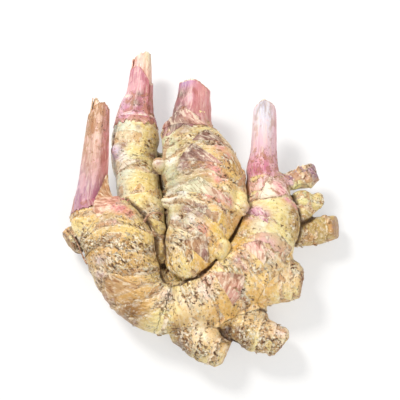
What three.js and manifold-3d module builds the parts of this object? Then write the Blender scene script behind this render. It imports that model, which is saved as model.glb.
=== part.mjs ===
// Young ginger root: a freshly dug rhizome with four cut shoots, lying on its broad side.
//
// Units are millimetres. +Z is up, the root lies on the plane Z = 0, its shoots point along +Y and the
// old, knobbly end points along -Y. The origin is the centre of the footprint.
//
// The rhizome itself is one grown piece. What can be peeled or pulled off it is modelled apart: the
// sheath and the rolled heart of each cut shoot, the papery scale leaves and the wiry roots.

import * as THREE from "three";
import { mergeVertices } from "three/addons/utils/BufferGeometryUtils.js";
import Module from "manifold-3d";

const wasm = await Module();
wasm.setup();

// ---- Driving dimensions -------------------------------------------------------------------------

const GAP = 0.3; // between pieces that touch on the real root
const CENTRE = { x: 5.2, y: 1.9 }; // of the footprint, in the stations' own coordinates
const NODE_SPACING = 9; // between the rings that scale leaves grow from
const NODE_SWELL = 0.035; // how much a limb swells between two rings, as a share of its radius
const DOME = 0.8; // height of a limb's round end, as a share of its radius
const SHEATH_WALL = 0.9; // the outer leaf sheath round a cut shoot
const LEAF_LIFT = 0.85; // a scale leaf's inner face above the limb's skin
const LEAF_THICKNESS = 0.7;
const LEAF_TAPER = 0.88; // share of its width that a leaf loses towards its tip
const ROOT_RADIUS = 0.55;

// How finely the round shapes are cut into faces.
const ARM_SIDES = 16;
const ARM_ROW = 5;
const FINGER_SIDES = 12;
const FINGER_ROW = 4;
const DOME_EDGE = 0.35; // where a round end's last ring lies, in rows from its tip
const SHOOT_SIDES = 12;
const SHOOT_ROW = 7;
const LEAF_COLUMNS = 5;
const LEAF_ROWS = 4;
const ROOT_SIDES = 6;
const ROOT_STEPS = 8;

const SKIN = { flesh: 0xe6cc8e, pink: 0xdd9aa0, heart: 0xf3e6c4, scale: 0xa88676, wiry: 0x8a6238 };

// ---- The rhizome's limbs ------------------------------------------------------------------------
// Each station is [x, y, z, radius] on a limb's centre line, from where it grows out to its tip.

const LIMBS = {
  left_arm: [
    [-7, -49, 13.5, 11],
    [-16, -47.5, 14, 12.2],
    [-24.5, -41, 15, 14.6],
    [-31, -30, 16.5, 16.6],
    [-35, -18, 16.8, 17.4],
    [-41, -10.5, 17, 16],
    [-45.6, -5, 17.4, 13.2],
    [-48, 0.6, 18.2, 8.6],
  ],
  tall_arm: [
    [-19, -27, 12.5, 10],
    [-23.5, -10, 11.5, 10.8],
    [-25.2, 4, 11.2, 11.2],
    [-27.5, 16, 11.4, 11],
    [-28.4, 27, 11.8, 11.5],
    [-28.4, 37, 12.4, 11],
    [-28.2, 43.5, 13, 9.8],
    [-27.8, 48.5, 13.6, 8.2],
  ],
  broad_arm: [
    [-7.5, -34, 16.5, 9],
    [-1.6, -26.5, 17.6, 13],
    [3, -15, 18.4, 15.4],
    [5.6, -4, 18.8, 18],
    [5.8, 7, 19.2, 19],
    [3.5, 17, 19.3, 18.2],
    [0.1, 27, 19.2, 15.6],
    [-2, 35, 19.4, 12.7],
    [-1.3, 42, 19.8, 9.9],
    [-0.5, 46, 20, 8.6],
  ],
  right_arm: [
    [-20, -47.5, 13.5, 10.5],
    [-8, -49.5, 14, 12],
    [6, -44.5, 14.6, 13.2],
    [18.5, -37, 15, 14.8],
    [28, -27.5, 15.2, 15.4],
    [33.6, -17, 15, 15],
    [37, -7, 15.4, 14],
    [36.6, 1, 15.8, 11.8],
    [34.8, 9, 16.8, 9.2],
    [33.6, 14.5, 17.6, 7.4],
  ],
  old_finger: [
    [-8.5, -59.4, 12.6, 6.2],
    [-2.5, -61.6, 13.6, 8],
    [5, -65.4, 13.2, 8.4],
    [16, -71.3, 11.8, 7.6],
  ],
  outer_finger: [
    [18.5, -58.6, 12.4, 6.4],
    [25, -59.6, 12.8, 7.6],
    [33, -61.6, 12.2, 7.9],
    [44.2, -64.8, 10.8, 7.4],
  ],
  stub: [
    [26, -36, 13.5, 12.6],
    [36, -37, 13.4, 11],
    [45, -36, 13.6, 9.4],
    [52.6, -35, 13.8, 7.6],
  ],
  side_finger: [
    [38, -9, 12, 8.4],
    [49, -11.5, 10.4, 7.6],
    [60, -11, 9.4, 6.8],
    [71.6, -8.6, 8.8, 5.6],
  ],
  side_bud: [
    [48, -10, 11, 6],
    [51.5, -3, 12.5, 6.4],
    [52.5, 3.5, 13.6, 5.6],
    [52.5, 8, 14.2, 4.4],
  ],
  bud_tip: [
    [38, 9, 15, 3.2],
    [45, 12, 14.6, 3.5],
    [52.5, 14.4, 14.8, 4.6],
    [60, 16.4, 15, 4.9],
  ],
  hidden_lobe: [
    [-44, -10, 14, 8],
    [-53, -14, 12.5, 6.8],
    [-59, -20, 11.5, 5.4],
  ],
  inner_lobe: [
    [-12, -22, 8, 7],
    [-12.3, -8, 7.5, 6],
    [-13.2, 6, 7, 5.6],
    [-14.8, 18, 6.5, 5.2],
    [-15.8, 29, 6, 4.4],
  ],
};

// Round dormant buds on the skin: [x, y, z, radius].
const KNOBS = [
  [22.4, -1, 21, 5.2],
  [15, -23.5, 20.5, 3.8],
  [-15.4, 17.6, 22, 3],
  [-12.4, -1, 23.5, 3],
  [-35.6, 26, 18.6, 3.8],
  [-12, -45, 23.5, 4.2],
  [22, 13, 20.5, 3.6],
  [-53.6, -7.4, 15.6, 4.8],
  [59.2, 2.4, 12.5, 4.6],
  [27, -52.5, 12.5, 8.6],
  [14, -54, 11.8, 8],
  [-11, -33, 9.5, 7.5],
];

// ---- What grows on the limbs --------------------------------------------------------------------

// A cut shoot: stations of its outer sheath up to the tip of the rolled heart, the share of its length
// at which the sheath is cut, and the cut's slope sideways and towards the top, as tangents.
const SHOOTS = {
  left_arm: {
    stations: [
      [-47.9, 3.2, 18.7, 7.7],
      [-47.5, 10, 19.4, 6.7],
      [-46.8, 20, 20.4, 6.3],
      [-46.2, 30, 21.4, 5.7],
      [-45.6, 40, 22.2, 5],
      [-44.8, 52.5, 23, 4.1],
    ],
    sheathTo: 0.9,
    slope: [-0.9, 0.3],
  },
  tall_arm: {
    stations: [
      [-27.4, 50.8, 13.9, 7.8],
      [-26.4, 56, 14.4, 6.4],
      [-25.8, 63, 15.1, 5.7],
      [-25.4, 71, 15.9, 5.1],
      [-25.2, 79, 16.6, 4.3],
    ],
    sheathTo: 0.72,
    slope: [0.5, -0.6],
  },
  broad_arm: {
    stations: [
      [-0.2, 48.2, 20.2, 8.4],
      [0.2, 52.5, 20.7, 7.6],
      [0.6, 57, 21.2, 7.2],
      [1, 61.4, 21.7, 6.9],
    ],
    sheathTo: 0.88,
    slope: [-0.5, 0.2],
  },
  right_arm: {
    stations: [
      [33.3, 16.8, 18, 7.4],
      [33.9, 25, 19.1, 6.1],
      [34.3, 35, 20.6, 5.6],
      [34.6, 45, 22.2, 5.1],
      [34.6, 51.8, 23.3, 4],
    ],
    sheathTo: 0.93,
    slope: [0.7, 0.4],
  },
};

// The pointed bract beside the left shoot: the line that it follows, from the arm's shoulder to its
// tip, and where it lies on that line, as a scale leaf does.
const BRACT_LINE = [
  [-41, -10.5, 17, 17.2],
  [-45.6, -5, 17.4, 14.8],
  [-48, 0.6, 18.2, 10.6],
  [-47.7, 8, 19.2, 8.4],
  [-47, 17, 20.2, 8],
];
const BRACT_SPAN = [0.1, 0.82, 56, 34];

// Scale leaves: the limb, where the leaf starts and ends along it, the angle of its midrib in degrees
// (0 is the limb's right side, 90 its top), half its width in degrees, and the slope of its foot, as
// millimetres back along the limb for each millimetre to the right.
const SCALE_LEAVES = {
  broad_crown: ["broad_arm", 0.81, 0.985, 104, 60, 0],
  broad_shoulder: ["broad_arm", 0.645, 0.715, 54, 36, 0.3],
  broad_middle: ["broad_arm", 0.49, 0.585, 92, 40, 0.34],
  broad_lower: ["broad_arm", 0.37, 0.45, 98, 46, 0.2],
  broad_heel: ["broad_arm", 0.135, 0.21, 78, 33, 0.2],
  right_crown: ["right_arm", 0.79, 0.985, 78, 42, 0],
  right_purple: ["right_arm", 0.6, 0.7, 118, 28, 0.3],
  right_pink: ["right_arm", 0.45, 0.535, 88, 40, 0.1],
  right_heel: ["right_arm", 0.28, 0.365, 78, 38, 0],
  left_fold: ["left_arm", 0.28, 0.38, 122, 38, 0.3],
  tall_crown: ["tall_arm", 0.84, 0.985, 90, 66, 0],
  tall_ring: ["tall_arm", 0.46, 0.535, 100, 38, 0.14],
};

// Wiry roots, each a curve clear of the skin that it springs from.
const ROOTS = {
  root_inner: [
    [-22.5, -11.5, 28.4],
    [-20, -8, 28.8],
    [-16.5, -7, 28.8],
    [-13.6, -8.2, 28.3],
  ],
  root_curl: [
    [-48.6, -30.5, 25.2],
    [-51.4, -25.5, 25.2],
    [-54, -19.5, 23.6],
    [-57, -14.6, 21.6],
    [-60, -12.4, 19],
  ],
};

// ---- Curves and solids --------------------------------------------------------------------------

const UP = new THREE.Vector3(0, 0, 1);
const FAR = 400; // wider than the whole root

const curveThrough = (points) =>
  new THREE.CatmullRomCurve3(
    points.map(([x, y, z]) => new THREE.Vector3(x, y, z)),
    false,
    "centripetal",
  );

// A centre line with its radius and its own directions, at t from 0 to 1.
function makeAxis(stations) {
  const line = curveThrough(stations);
  const radii = new THREE.SplineCurve(stations.map(([, , , r], i) => new THREE.Vector2(i, r)));
  const length = line.getLength();
  return {
    length,
    radius: (t) => radii.getPoint(t).y,
    frame(t) {
      const along = line.getTangent(t);
      const side = new THREE.Vector3().crossVectors(along, UP).normalize();
      return { at: line.getPoint(t), along, side, over: side.clone().cross(along) };
    },
  };
}

// Bends a shape whose y runs from 0 to 1 so that it follows an axis.
function bendAlong(geometry, axis) {
  const position = geometry.getAttribute("position");
  const point = new THREE.Vector3();
  for (let i = 0; i < position.count; i++) {
    point.fromBufferAttribute(position, i);
    const { at, side, over } = axis.frame(THREE.MathUtils.clamp(point.y, 0, 1));
    at.addScaledVector(side, point.x).addScaledVector(over, point.z);
    position.setXYZ(i, at.x, at.y, at.z);
  }
  return geometry;
}

function solidFrom(geometry) {
  geometry.deleteAttribute("normal");
  geometry.deleteAttribute("uv");
  const merged = mergeVertices(geometry, 1e-4);
  return new wasm.Manifold(
    new wasm.Mesh({
      numProp: 3,
      vertProperties: new Float32Array(merged.attributes.position.array),
      triVerts: new Uint32Array(merged.index.array),
    }),
  );
}

function geometryFrom(solid) {
  const { vertProperties, triVerts } = solid.getMesh();
  const geometry = new THREE.BufferGeometry();
  geometry.setAttribute("position", new THREE.BufferAttribute(vertProperties, 3));
  geometry.setIndex(new THREE.BufferAttribute(triVerts, 1));
  geometry.computeVertexNormals();
  return geometry;
}

// Cuts off what lies beyond a plane, on the side that its normal points to.
function cutBeyond(solid, point, normal) {
  const turn = new THREE.Quaternion().setFromUnitVectors(UP, normal.clone().normalize());
  const block = new THREE.BoxGeometry(FAR, FAR, FAR).translate(0, 0, FAR / 2);
  block.applyQuaternion(turn).translate(point.x, point.y, point.z);
  return solid.subtract(solidFrom(block));
}

// ---- The rhizome --------------------------------------------------------------------------------

// The skin's radius at t: the stations' radius, swollen between rings and domed at a closed end.
function skinRadius(axis, t, domed) {
  const swell = 1 + NODE_SWELL * Math.abs(Math.sin((Math.PI * t * axis.length) / NODE_SPACING));
  const radius = axis.radius(t) * swell;
  const toTip = ((1 - t) * axis.length) / (DOME * axis.radius(1));
  return domed && toTip < 1 ? radius * Math.sqrt(1 - (1 - toTip) ** 2) : radius;
}

const bearsShoot = (name) => name in SHOOTS;

function limb(name) {
  const axis = makeAxis(LIMBS[name]);
  const domed = !bearsShoot(name);
  const rows = Math.ceil(axis.length / (domed ? FINGER_ROW : ARM_ROW));
  const profile = [new THREE.Vector2(0, 0)];
  for (let i = 0; i < rows; i++) {
    profile.push(new THREE.Vector2(skinRadius(axis, i / rows, domed), i / rows));
  }
  const last = domed ? 1 - DOME_EDGE / rows : 1;
  profile.push(new THREE.Vector2(skinRadius(axis, last, domed), last), new THREE.Vector2(0, 1));
  return solidFrom(bendAlong(new THREE.LatheGeometry(profile, domed ? FINGER_SIDES : ARM_SIDES), axis));
}

function rhizome() {
  const limbs = Object.keys(LIMBS).map(limb);
  const knobs = KNOBS.map(([x, y, z, r]) => solidFrom(new THREE.SphereGeometry(r, 8, 6).translate(x, y, z)));
  const whole = [...limbs, ...knobs].reduce((sum, piece) => sum.add(piece));
  return cutBeyond(whole, new THREE.Vector3(), UP.clone().negate());
}

// ---- The shoots ---------------------------------------------------------------------------------

// A shoot's axis starts inside its arm's cut end; its pieces are trimmed clear of that end.
function shootParts(arm, { stations, sheathTo, slope }) {
  const neck = makeAxis(LIMBS[arm]).frame(1);
  const base = neck.at.clone().addScaledVector(neck.along, GAP);
  const root = neck.at.clone().addScaledVector(neck.along, -1);
  const axis = makeAxis([[root.x, root.y, root.z, stations[0][3]], ...stations]);
  const rows = Math.ceil(axis.length / SHOOT_ROW);
  const wall = (inset) =>
    Array.from({ length: rows + 1 }, (_, i) => new THREE.Vector2(axis.radius(i / rows) - inset, i / rows));
  const outer = wall(0);
  const sheathProfile = [...outer, ...wall(SHEATH_WALL).reverse(), outer[0]];
  const heartProfile = [new THREE.Vector2(0, 0), ...wall(SHEATH_WALL + GAP), new THREE.Vector2(0, 1)];
  const [sheath, heart] = [sheathProfile, heartProfile].map((profile) =>
    cutBeyond(
      solidFrom(bendAlong(new THREE.LatheGeometry(profile, SHOOT_SIDES), axis)),
      base,
      neck.along.clone().negate(),
    ),
  );
  const { at, along, side, over } = axis.frame(sheathTo);
  const slanted = along.clone().addScaledVector(side, slope[0]).addScaledVector(over, slope[1]);
  return { sheath: cutBeyond(sheath, at, slanted), heart };
}

// ---- Scale leaves and the bract -----------------------------------------------------------------

// A thin leaf laid over an axis. It spans from..to along it, and is widest at its foot and pointed at
// its tip. The midrib's angle and the half width are in degrees round the axis, and its foot may slope.
function leafOn(axis, radiusAt, [from, to, midrib, halfWidth, slope = 0]) {
  const geometry = new THREE.BoxGeometry(1, 1, 1, LEAF_COLUMNS, LEAF_ROWS, 1).translate(0, 0.5, 0.5);
  const position = geometry.getAttribute("position");
  for (let i = 0; i < position.count; i++) {
    const across = position.getX(i) * 2;
    const up = position.getY(i);
    const width = halfWidth * (1 - LEAF_TAPER * up ** 2);
    const angle = THREE.MathUtils.degToRad(midrib - across * width);
    const level = THREE.MathUtils.lerp(from, to, up);
    const back = (slope * radiusAt(level) * Math.cos(angle)) / axis.length;
    const t = THREE.MathUtils.clamp(level - back, 0, 1);
    const radius = radiusAt(t) + LEAF_LIFT + LEAF_THICKNESS * position.getZ(i);
    const { at, side, over } = axis.frame(t);
    at.addScaledVector(side, radius * Math.cos(angle)).addScaledVector(over, radius * Math.sin(angle));
    position.setXYZ(i, at.x, at.y, at.z);
  }
  return solidFrom(geometry);
}

function scaleLeaf([arm, ...span]) {
  const axis = makeAxis(LIMBS[arm]);
  return leafOn(axis, (t) => skinRadius(axis, t, false), span);
}

function bract() {
  const axis = makeAxis(BRACT_LINE);
  return leafOn(axis, axis.radius, BRACT_SPAN);
}

// ---- Wiry roots ---------------------------------------------------------------------------------

function wiryRoot(points) {
  const section = new THREE.Shape(new THREE.EllipseCurve(0, 0, ROOT_RADIUS, ROOT_RADIUS).getPoints(ROOT_SIDES));
  return new THREE.ExtrudeGeometry(section, {
    steps: ROOT_STEPS,
    bevelEnabled: false,
    extrudePath: curveThrough(points),
  });
}

// ---- The whole root -----------------------------------------------------------------------------

const group = new THREE.Group();
group.position.set(-CENTRE.x, -CENTRE.y, 0);

function addPiece(name, geometry, color, roughness) {
  const mesh = new THREE.Mesh(geometry, new THREE.MeshStandardMaterial({ color, roughness, metalness: 0 }));
  mesh.name = name;
  group.add(mesh);
}

addPiece("rhizome", geometryFrom(rhizome()), SKIN.flesh, 0.7);
for (const [arm, spec] of Object.entries(SHOOTS)) {
  const { sheath, heart } = shootParts(arm, spec);
  addPiece(arm.replace("arm", "shoot_sheath"), geometryFrom(sheath), SKIN.pink, 0.45);
  addPiece(arm.replace("arm", "shoot_heart"), geometryFrom(heart), SKIN.heart, 0.5);
}
addPiece("left_bract", geometryFrom(bract()), SKIN.scale, 0.8);
for (const [name, spec] of Object.entries(SCALE_LEAVES)) {
  addPiece(`scale_leaf_${name}`, geometryFrom(scaleLeaf(spec)), SKIN.scale, 0.8);
}
for (const [name, points] of Object.entries(ROOTS)) {
  addPiece(name, wiryRoot(points), SKIN.wiry, 0.9);
}

export default group;
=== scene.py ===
# %% [markdown]
# # A young ginger root, modelled in Blender
#
# A ginger rhizome is a stem that grows under the ground. It branches into plump arms, and every arm is
# ringed: each ring is the scar of a papery scale leaf. At the tip of an arm grows a shoot of rolled leaf
# sheaths, pink where it left the soil. This root was dug young, its shoots were cut, and it lies down.
#
# The root is made in this order: the arms as swept curves, one skin round them all, the rings and lumps
# as moves of its points, its paint, then the shoots, the scale leaves with the bract, the torn fringes and
# the wiry roots. The tables are in millimetres, and MM turns them into Blender's metres.

import math

import bpy
import numpy as np
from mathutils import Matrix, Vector, noise


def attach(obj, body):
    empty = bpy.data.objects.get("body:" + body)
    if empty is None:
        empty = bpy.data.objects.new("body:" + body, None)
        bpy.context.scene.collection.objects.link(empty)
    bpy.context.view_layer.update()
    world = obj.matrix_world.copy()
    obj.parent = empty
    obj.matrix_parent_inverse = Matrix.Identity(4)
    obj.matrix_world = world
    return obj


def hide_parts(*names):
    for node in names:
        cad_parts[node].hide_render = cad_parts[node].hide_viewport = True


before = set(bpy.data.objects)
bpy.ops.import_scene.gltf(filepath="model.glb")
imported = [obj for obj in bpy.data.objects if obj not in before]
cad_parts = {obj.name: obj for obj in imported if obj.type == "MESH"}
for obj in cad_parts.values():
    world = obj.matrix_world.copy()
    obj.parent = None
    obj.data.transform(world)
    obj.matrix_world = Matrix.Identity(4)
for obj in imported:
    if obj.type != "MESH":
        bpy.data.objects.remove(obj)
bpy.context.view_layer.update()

# %% Units, and helpers for meshes
MM = 0.001
CENTRE = Vector((5.2, 1.9, 0.0))  # of the footprint, in the stations' own millimetres


def deselect():
    bpy.ops.object.select_all(action="DESELECT")


def make_active(piece):
    deselect()
    piece.select_set(True)
    bpy.context.view_layer.objects.active = piece


def apply_modifier(piece, kind, **settings):
    make_active(piece)
    modifier = piece.modifiers.new(kind.lower(), kind)
    for name, value in settings.items():
        setattr(modifier, name, value)
    bpy.ops.object.modifier_apply(modifier=modifier.name)


def join_pieces(pieces, name):
    make_active(pieces[0])
    for piece in pieces:
        piece.select_set(True)
    bpy.ops.object.join()
    whole = bpy.context.object
    whole.name = name
    return whole


def points_of(mesh):
    points = np.empty(len(mesh.vertices) * 3)
    mesh.vertices.foreach_get("co", points)
    return points.reshape(-1, 3)


def move_points(mesh, points):
    mesh.vertices.foreach_set("co", np.asarray(points, dtype=np.float32).ravel())
    mesh.update()


def normals_of(mesh):
    normals = np.empty(len(mesh.vertices) * 3)
    mesh.vertex_normals.foreach_get("vector", normals)
    return normals.reshape(-1, 3)


# %% Helpers for nodes
def set_input(tree, socket, value):
    """A plain value for a socket, or a link to it from another node's output."""
    if isinstance(value, bpy.types.NodeSocket):
        tree.links.new(value, socket)
    else:
        socket.default_value = value


def add_node(tree, kind, inputs=None, **settings):
    """A new node with its settings, and a value or a link for each of the named inputs."""
    node = tree.nodes.new(kind)
    for key, value in settings.items():
        setattr(node, key, value)
    for key, value in (inputs or {}).items():
        set_input(tree, node.inputs[key], value)
    return node


# %% Helpers for places, angles and noise
def in_room(x, y, z):
    """A place given in the stations' millimetres, as metres from the origin."""
    return (Vector((x, y, z)) - CENTRE) * MM


def turned_from(degrees, angle):
    """The shorter way round from an angle, from -180 to 180 degrees."""
    return (degrees - angle + 180) % 360 - 180


def ease(low, high, value):
    """0 below low, 1 above high and a smooth step between them."""
    t = np.clip((value - low) / (high - low), 0.0, 1.0)
    return t * t * (3.0 - 2.0 * t)


def waves(points, size, seed=0.0, octaves=1):
    """Smooth noise from about -1 to 1 whose lumps are about size across, one size or one for each axis."""
    shift = Vector((seed * 7.3, seed * 3.1, seed * 5.7))
    if octaves == 1:
        return np.array([noise.noise(Vector(p) + shift) for p in points / size])
    return np.array([noise.fractal(Vector(p) + shift, 1.0, 2.0, octaves) for p in points / size])


# %% [markdown]
# ## Camera, floor and light
#
# The root lies on its broad side, so the camera looks steeply down on it. A longish lens keeps the near
# fingers from looking too big. The floor is white to the camera, and still takes the root's soft shadow.
# The key light comes from above the shoots and skims down the arms, which lets every ring cast a fine
# shadow. A large weak light from the other side keeps the crevices readable.

# %% Camera
bpy.ops.object.camera_add()
camera = bpy.context.object
camera.data.lens = 85
camera.data.sensor_width = 36
target = Vector((-0.0018, 0.0007, 0.016))
elevation = math.radians(74)
distance = 0.452
away = Vector((0.0, -math.cos(elevation), math.sin(elevation)))
camera.location = target + away * distance
camera.rotation_euler = (-away).to_track_quat("-Z", "Y").to_euler()
bpy.context.scene.camera = camera
print("camera", round(distance / MM), "mm from the root,", camera.data.lens, "mm lens")

# %% Floor
FLOOR_COLOUR = (0.92, 0.92, 0.92, 1)
FLOOR_DROP = 0.2 * MM  # the floor lies this little below the root, so that no face shares its plane
GLOW_SHARE = 0.5  # of what the camera sees of the floor near the root; the rest takes its shadow
GLOW_NEAR, GLOW_FAR = 0.2, 0.9  # metres from the root between which the glow grows to the whole
bpy.ops.mesh.primitive_plane_add(size=6, location=(0, 0, -FLOOR_DROP))
floor = bpy.context.object
floor.name = "floor"
floor_paint = bpy.data.materials.new("white_floor")
floor_paint.use_nodes = True
floor.data.materials.append(floor_paint)
tree = floor_paint.node_tree
matte = tree.nodes["Principled BSDF"]
matte.inputs["Base Color"].default_value = FLOOR_COLOUR
matte.inputs["Roughness"].default_value = 0.9
glow = add_node(tree, "ShaderNodeEmission")
ray = add_node(tree, "ShaderNodeLightPath").outputs
rays = {0: ray["Is Camera Ray"], 1: ray["Is Glossy Ray"]}
seen = add_node(tree, "ShaderNodeMath", rays, operation="MAXIMUM").outputs[0]
place = add_node(tree, "ShaderNodeTexCoord").outputs["Object"]
how_far = add_node(tree, "ShaderNodeVectorMath", {0: place}, operation="LENGTH").outputs["Value"]
reach = {"Value": how_far, "From Min": GLOW_NEAR, "From Max": GLOW_FAR, "To Min": GLOW_SHARE}
whiter = add_node(tree, "ShaderNodeMapRange", reach).outputs["Result"]
share = add_node(tree, "ShaderNodeMath", {0: seen, 1: whiter}, operation="MULTIPLY").outputs[0]
shaders = {0: share, 1: matte.outputs["BSDF"], 2: glow.outputs["Emission"]}
blend = add_node(tree, "ShaderNodeMixShader", shaders)
tree.links.new(blend.outputs["Shader"], tree.nodes["Material Output"].inputs["Surface"])
print("floor nodes", len(tree.nodes))

# %% Lights
LAMP_COLOUR = (1.0, 0.98, 0.95)
WORLD_STRENGTH = 0.5  # as light on the root; to the camera the world is white


def softbox(name, place, size, power):
    bpy.ops.object.light_add(type="AREA", location=place)
    lamp = bpy.context.object
    lamp.name = name
    lamp.data.shape = "DISK"
    lamp.data.size = size
    lamp.data.energy = power
    lamp.data.color = LAMP_COLOUR
    lamp.rotation_euler = (target - Vector(place)).to_track_quat("-Z", "Y").to_euler()
    print(name, power, "watts from", place)


softbox("key_light", (-0.32, 0.34, 0.54), size=0.2, power=4.1)
softbox("fill_light", (0.42, -0.5, 0.5), size=0.6, power=2.6)

world = bpy.data.worlds.new("studio")
bpy.context.scene.world = world
world.use_nodes = True
tree = world.node_tree
sky = tree.nodes["Background"]
sky.inputs["Color"].default_value = (1, 1, 1, 1)
seen = add_node(tree, "ShaderNodeLightPath").outputs["Is Camera Ray"]
brighter = add_node(tree, "ShaderNodeMapRange", {"Value": seen, "To Min": WORLD_STRENGTH, "To Max": 1.0})
tree.links.new(brighter.outputs["Result"], sky.inputs["Strength"])
bpy.context.scene.view_settings.view_transform = "Standard"

# %% [markdown]
# ## The arms
#
# On the real root an arm is a chain of swollen stem joints, a little bent and never quite round. It could
# be lathed, but then it would be straight. A curve with its own radius at every point bends freely, so
# each arm, finger and long bud is one curve, converted to a mesh, and a dormant bud is a ball that stands
# half out of its arm. The stations are the same as the solid's.

# %% Stations of every limb: x, y, z and radius in millimetres, from where it grows out to its tip
LIMBS = {
    "left_arm": [
        (-7, -49, 13.5, 11), (-16, -47.5, 14, 12.2), (-24.5, -41, 15, 14.6), (-31, -30, 16.5, 16.6),
        (-35, -18, 16.8, 17.4), (-41, -10.5, 17, 16), (-45.6, -5, 17.4, 13.2), (-48, 0.6, 18.2, 8.6),
    ],
    "tall_arm": [
        (-19, -27, 12.5, 10), (-23.5, -10, 11.5, 10.8), (-25.2, 4, 11.2, 11.2), (-27.5, 16, 11.4, 11),
        (-28.4, 27, 11.8, 11.5), (-28.4, 37, 12.4, 11), (-28.2, 43.5, 13, 9.8),
        (-27.8, 48.5, 13.6, 8.2),
    ],
    "broad_arm": [
        (-7.5, -34, 16.5, 9), (-1.6, -26.5, 17.6, 13), (3, -15, 18.4, 15.4), (5.6, -4, 18.8, 18),
        (5.8, 7, 19.2, 19), (3.5, 17, 19.3, 18.2), (0.1, 27, 19.2, 15.6), (-2, 35, 19.4, 12.7),
        (-1.3, 42, 19.8, 9.9), (-0.5, 46, 20, 8.6),
    ],
    "right_arm": [
        (-20, -47.5, 13.5, 10.5), (-8, -49.5, 14, 12), (6, -44.5, 14.6, 13.2), (18.5, -37, 15, 14.8),
        (28, -27.5, 15.2, 15.4), (33.6, -17, 15, 15), (37, -7, 15.4, 14), (36.6, 1, 15.8, 11.8),
        (34.8, 9, 16.8, 9.2), (33.6, 14.5, 17.6, 7.4),
    ],
    "old_finger": [
        (-8.5, -59.4, 12.6, 6.2), (-2.5, -61.6, 13.6, 8), (5, -65.4, 13.2, 8.4),
        (16, -71.3, 11.8, 7.6),
    ],
    "outer_finger": [
        (18.5, -58.6, 12.4, 6.4), (25, -59.6, 12.8, 7.6), (33, -61.6, 12.2, 7.9),
        (44.2, -64.8, 10.8, 7.4),
    ],
    "stub": [
        (26, -36, 13.5, 12.6), (36, -37, 13.4, 11), (45, -36, 13.6, 9.4), (52.6, -35, 13.8, 7.6),
    ],
    "side_finger": [
        (38, -9, 12, 8.4), (49, -11.5, 10.4, 7.6), (60, -11, 9.4, 6.8), (71.6, -8.6, 8.8, 5.6),
    ],
    "side_bud": [
        (48, -10, 11, 6), (51.5, -3, 12.5, 6.4), (52.5, 3.5, 13.6, 5.6), (52.5, 8, 14.2, 4.4),
    ],
    "bud_tip": [
        (38, 9, 15, 3.2), (45, 12, 14.6, 3.5), (52.5, 14.4, 14.8, 4.6), (60, 16.4, 15, 4.9),
    ],
    "hidden_lobe": [
        (-44, -10, 14, 8), (-53, -14, 12.5, 6.8), (-59, -20, 11.5, 5.4),
    ],
    "inner_lobe": [
        (-12, -22, 8, 7), (-12.3, -8, 7.5, 6), (-13.2, 6, 7, 5.6), (-14.8, 18, 6.5, 5.2),
        (-15.8, 29, 6, 4.4),
    ],
}

# dormant buds, and lumps that fill the forks between limbs: x, y, z and radius in millimetres
KNOBS = [
    (22.4, -1, 21, 5.2), (15, -23.5, 20.5, 3.8), (-15.4, 17.6, 22, 3), (-12.4, -1, 23.5, 3),
    (-35.6, 26, 18.6, 3.8), (-12, -45, 23.5, 4.2), (22, 13, 20.5, 3.6), (-53.6, -7.4, 15.6, 4.8),
    (59.2, 2.4, 12.5, 4.6), (27, -52.5, 12.5, 8.6), (14, -54, 11.8, 8), (-11, -33, 9.5, 7.5),
]
print("limbs", len(LIMBS), "buds and lumps", len(KNOBS))

# %% A smooth line through stations
def between(time, start, end, low, high):
    """The value at a time on the straight way from low, at the start, to high, at the end."""
    return (end - time) / (end - start) * low + (time - start) / (end - start) * high


class Axis:
    """
    A limb's centre line through its stations: points and radii along it, and directions across it. It is
    a centripetal Catmull-Rom curve, which goes through every station and doesn't swing out beyond them.
    """

    def __init__(self, stations, step=0.6 * MM):
        knots = np.array([(*in_room(*station[:3]), station[3] * MM) for station in stations])
        padded = np.vstack([2 * knots[0] - knots[1], knots, 2 * knots[-1] - knots[-2]])
        rows, shares = [], []
        for i in range(len(knots) - 1):
            p = padded[i : i + 4]
            gaps = np.maximum(np.linalg.norm(np.diff(p[:, :3], axis=0), axis=1), 1e-6) ** 0.5
            t0, t1, t2, t3 = np.concatenate([[0.0], np.cumsum(gaps)])
            count = max(2, round(np.linalg.norm(p[2, :3] - p[1, :3]) / step))
            for t in np.linspace(t1, t2, count, endpoint=False):
                a1 = between(t, t0, t1, p[0], p[1])
                a2 = between(t, t1, t2, p[1], p[2])
                a3 = between(t, t2, t3, p[2], p[3])
                b1 = between(t, t0, t2, a1, a2)
                b2 = between(t, t1, t3, a2, a3)
                rows.append(between(t, t1, t2, b1, b2))
                shares.append((i + (t - t1) / (t2 - t1)) / (len(knots) - 1))
        rows = np.array(rows + [knots[-1]])
        self.shares = np.array(shares + [1.0])
        self.points, self.radii = rows[:, :3], rows[:, 3]
        steps = np.linalg.norm(np.diff(self.points, axis=0), axis=1)
        self.lengths = np.concatenate([[0.0], np.cumsum(steps)])
        self.length = self.lengths[-1]
        self.along = np.gradient(self.points, axis=0)
        self.along /= np.linalg.norm(self.along, axis=1)[:, None]
        self.side = np.cross(self.along, (0, 0, 1))
        self.side /= np.linalg.norm(self.side, axis=1)[:, None]
        self.over = np.cross(self.side, self.along)

    def at(self, where, values, table=None):
        """Any of the axis's rows, read at lengths along it, or at shares of its stations."""
        table = self.lengths if table is None else table
        values = values.reshape(len(values), -1)
        read = np.column_stack([np.interp(where, table, column) for column in values.T])
        return read if read.shape[1] > 1 else read[:, 0]


AXES = {name: Axis(stations) for name, stations in LIMBS.items()}
print("limb lengths in mm", {name: round(axis.length / MM) for name, axis in AXES.items()})


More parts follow.
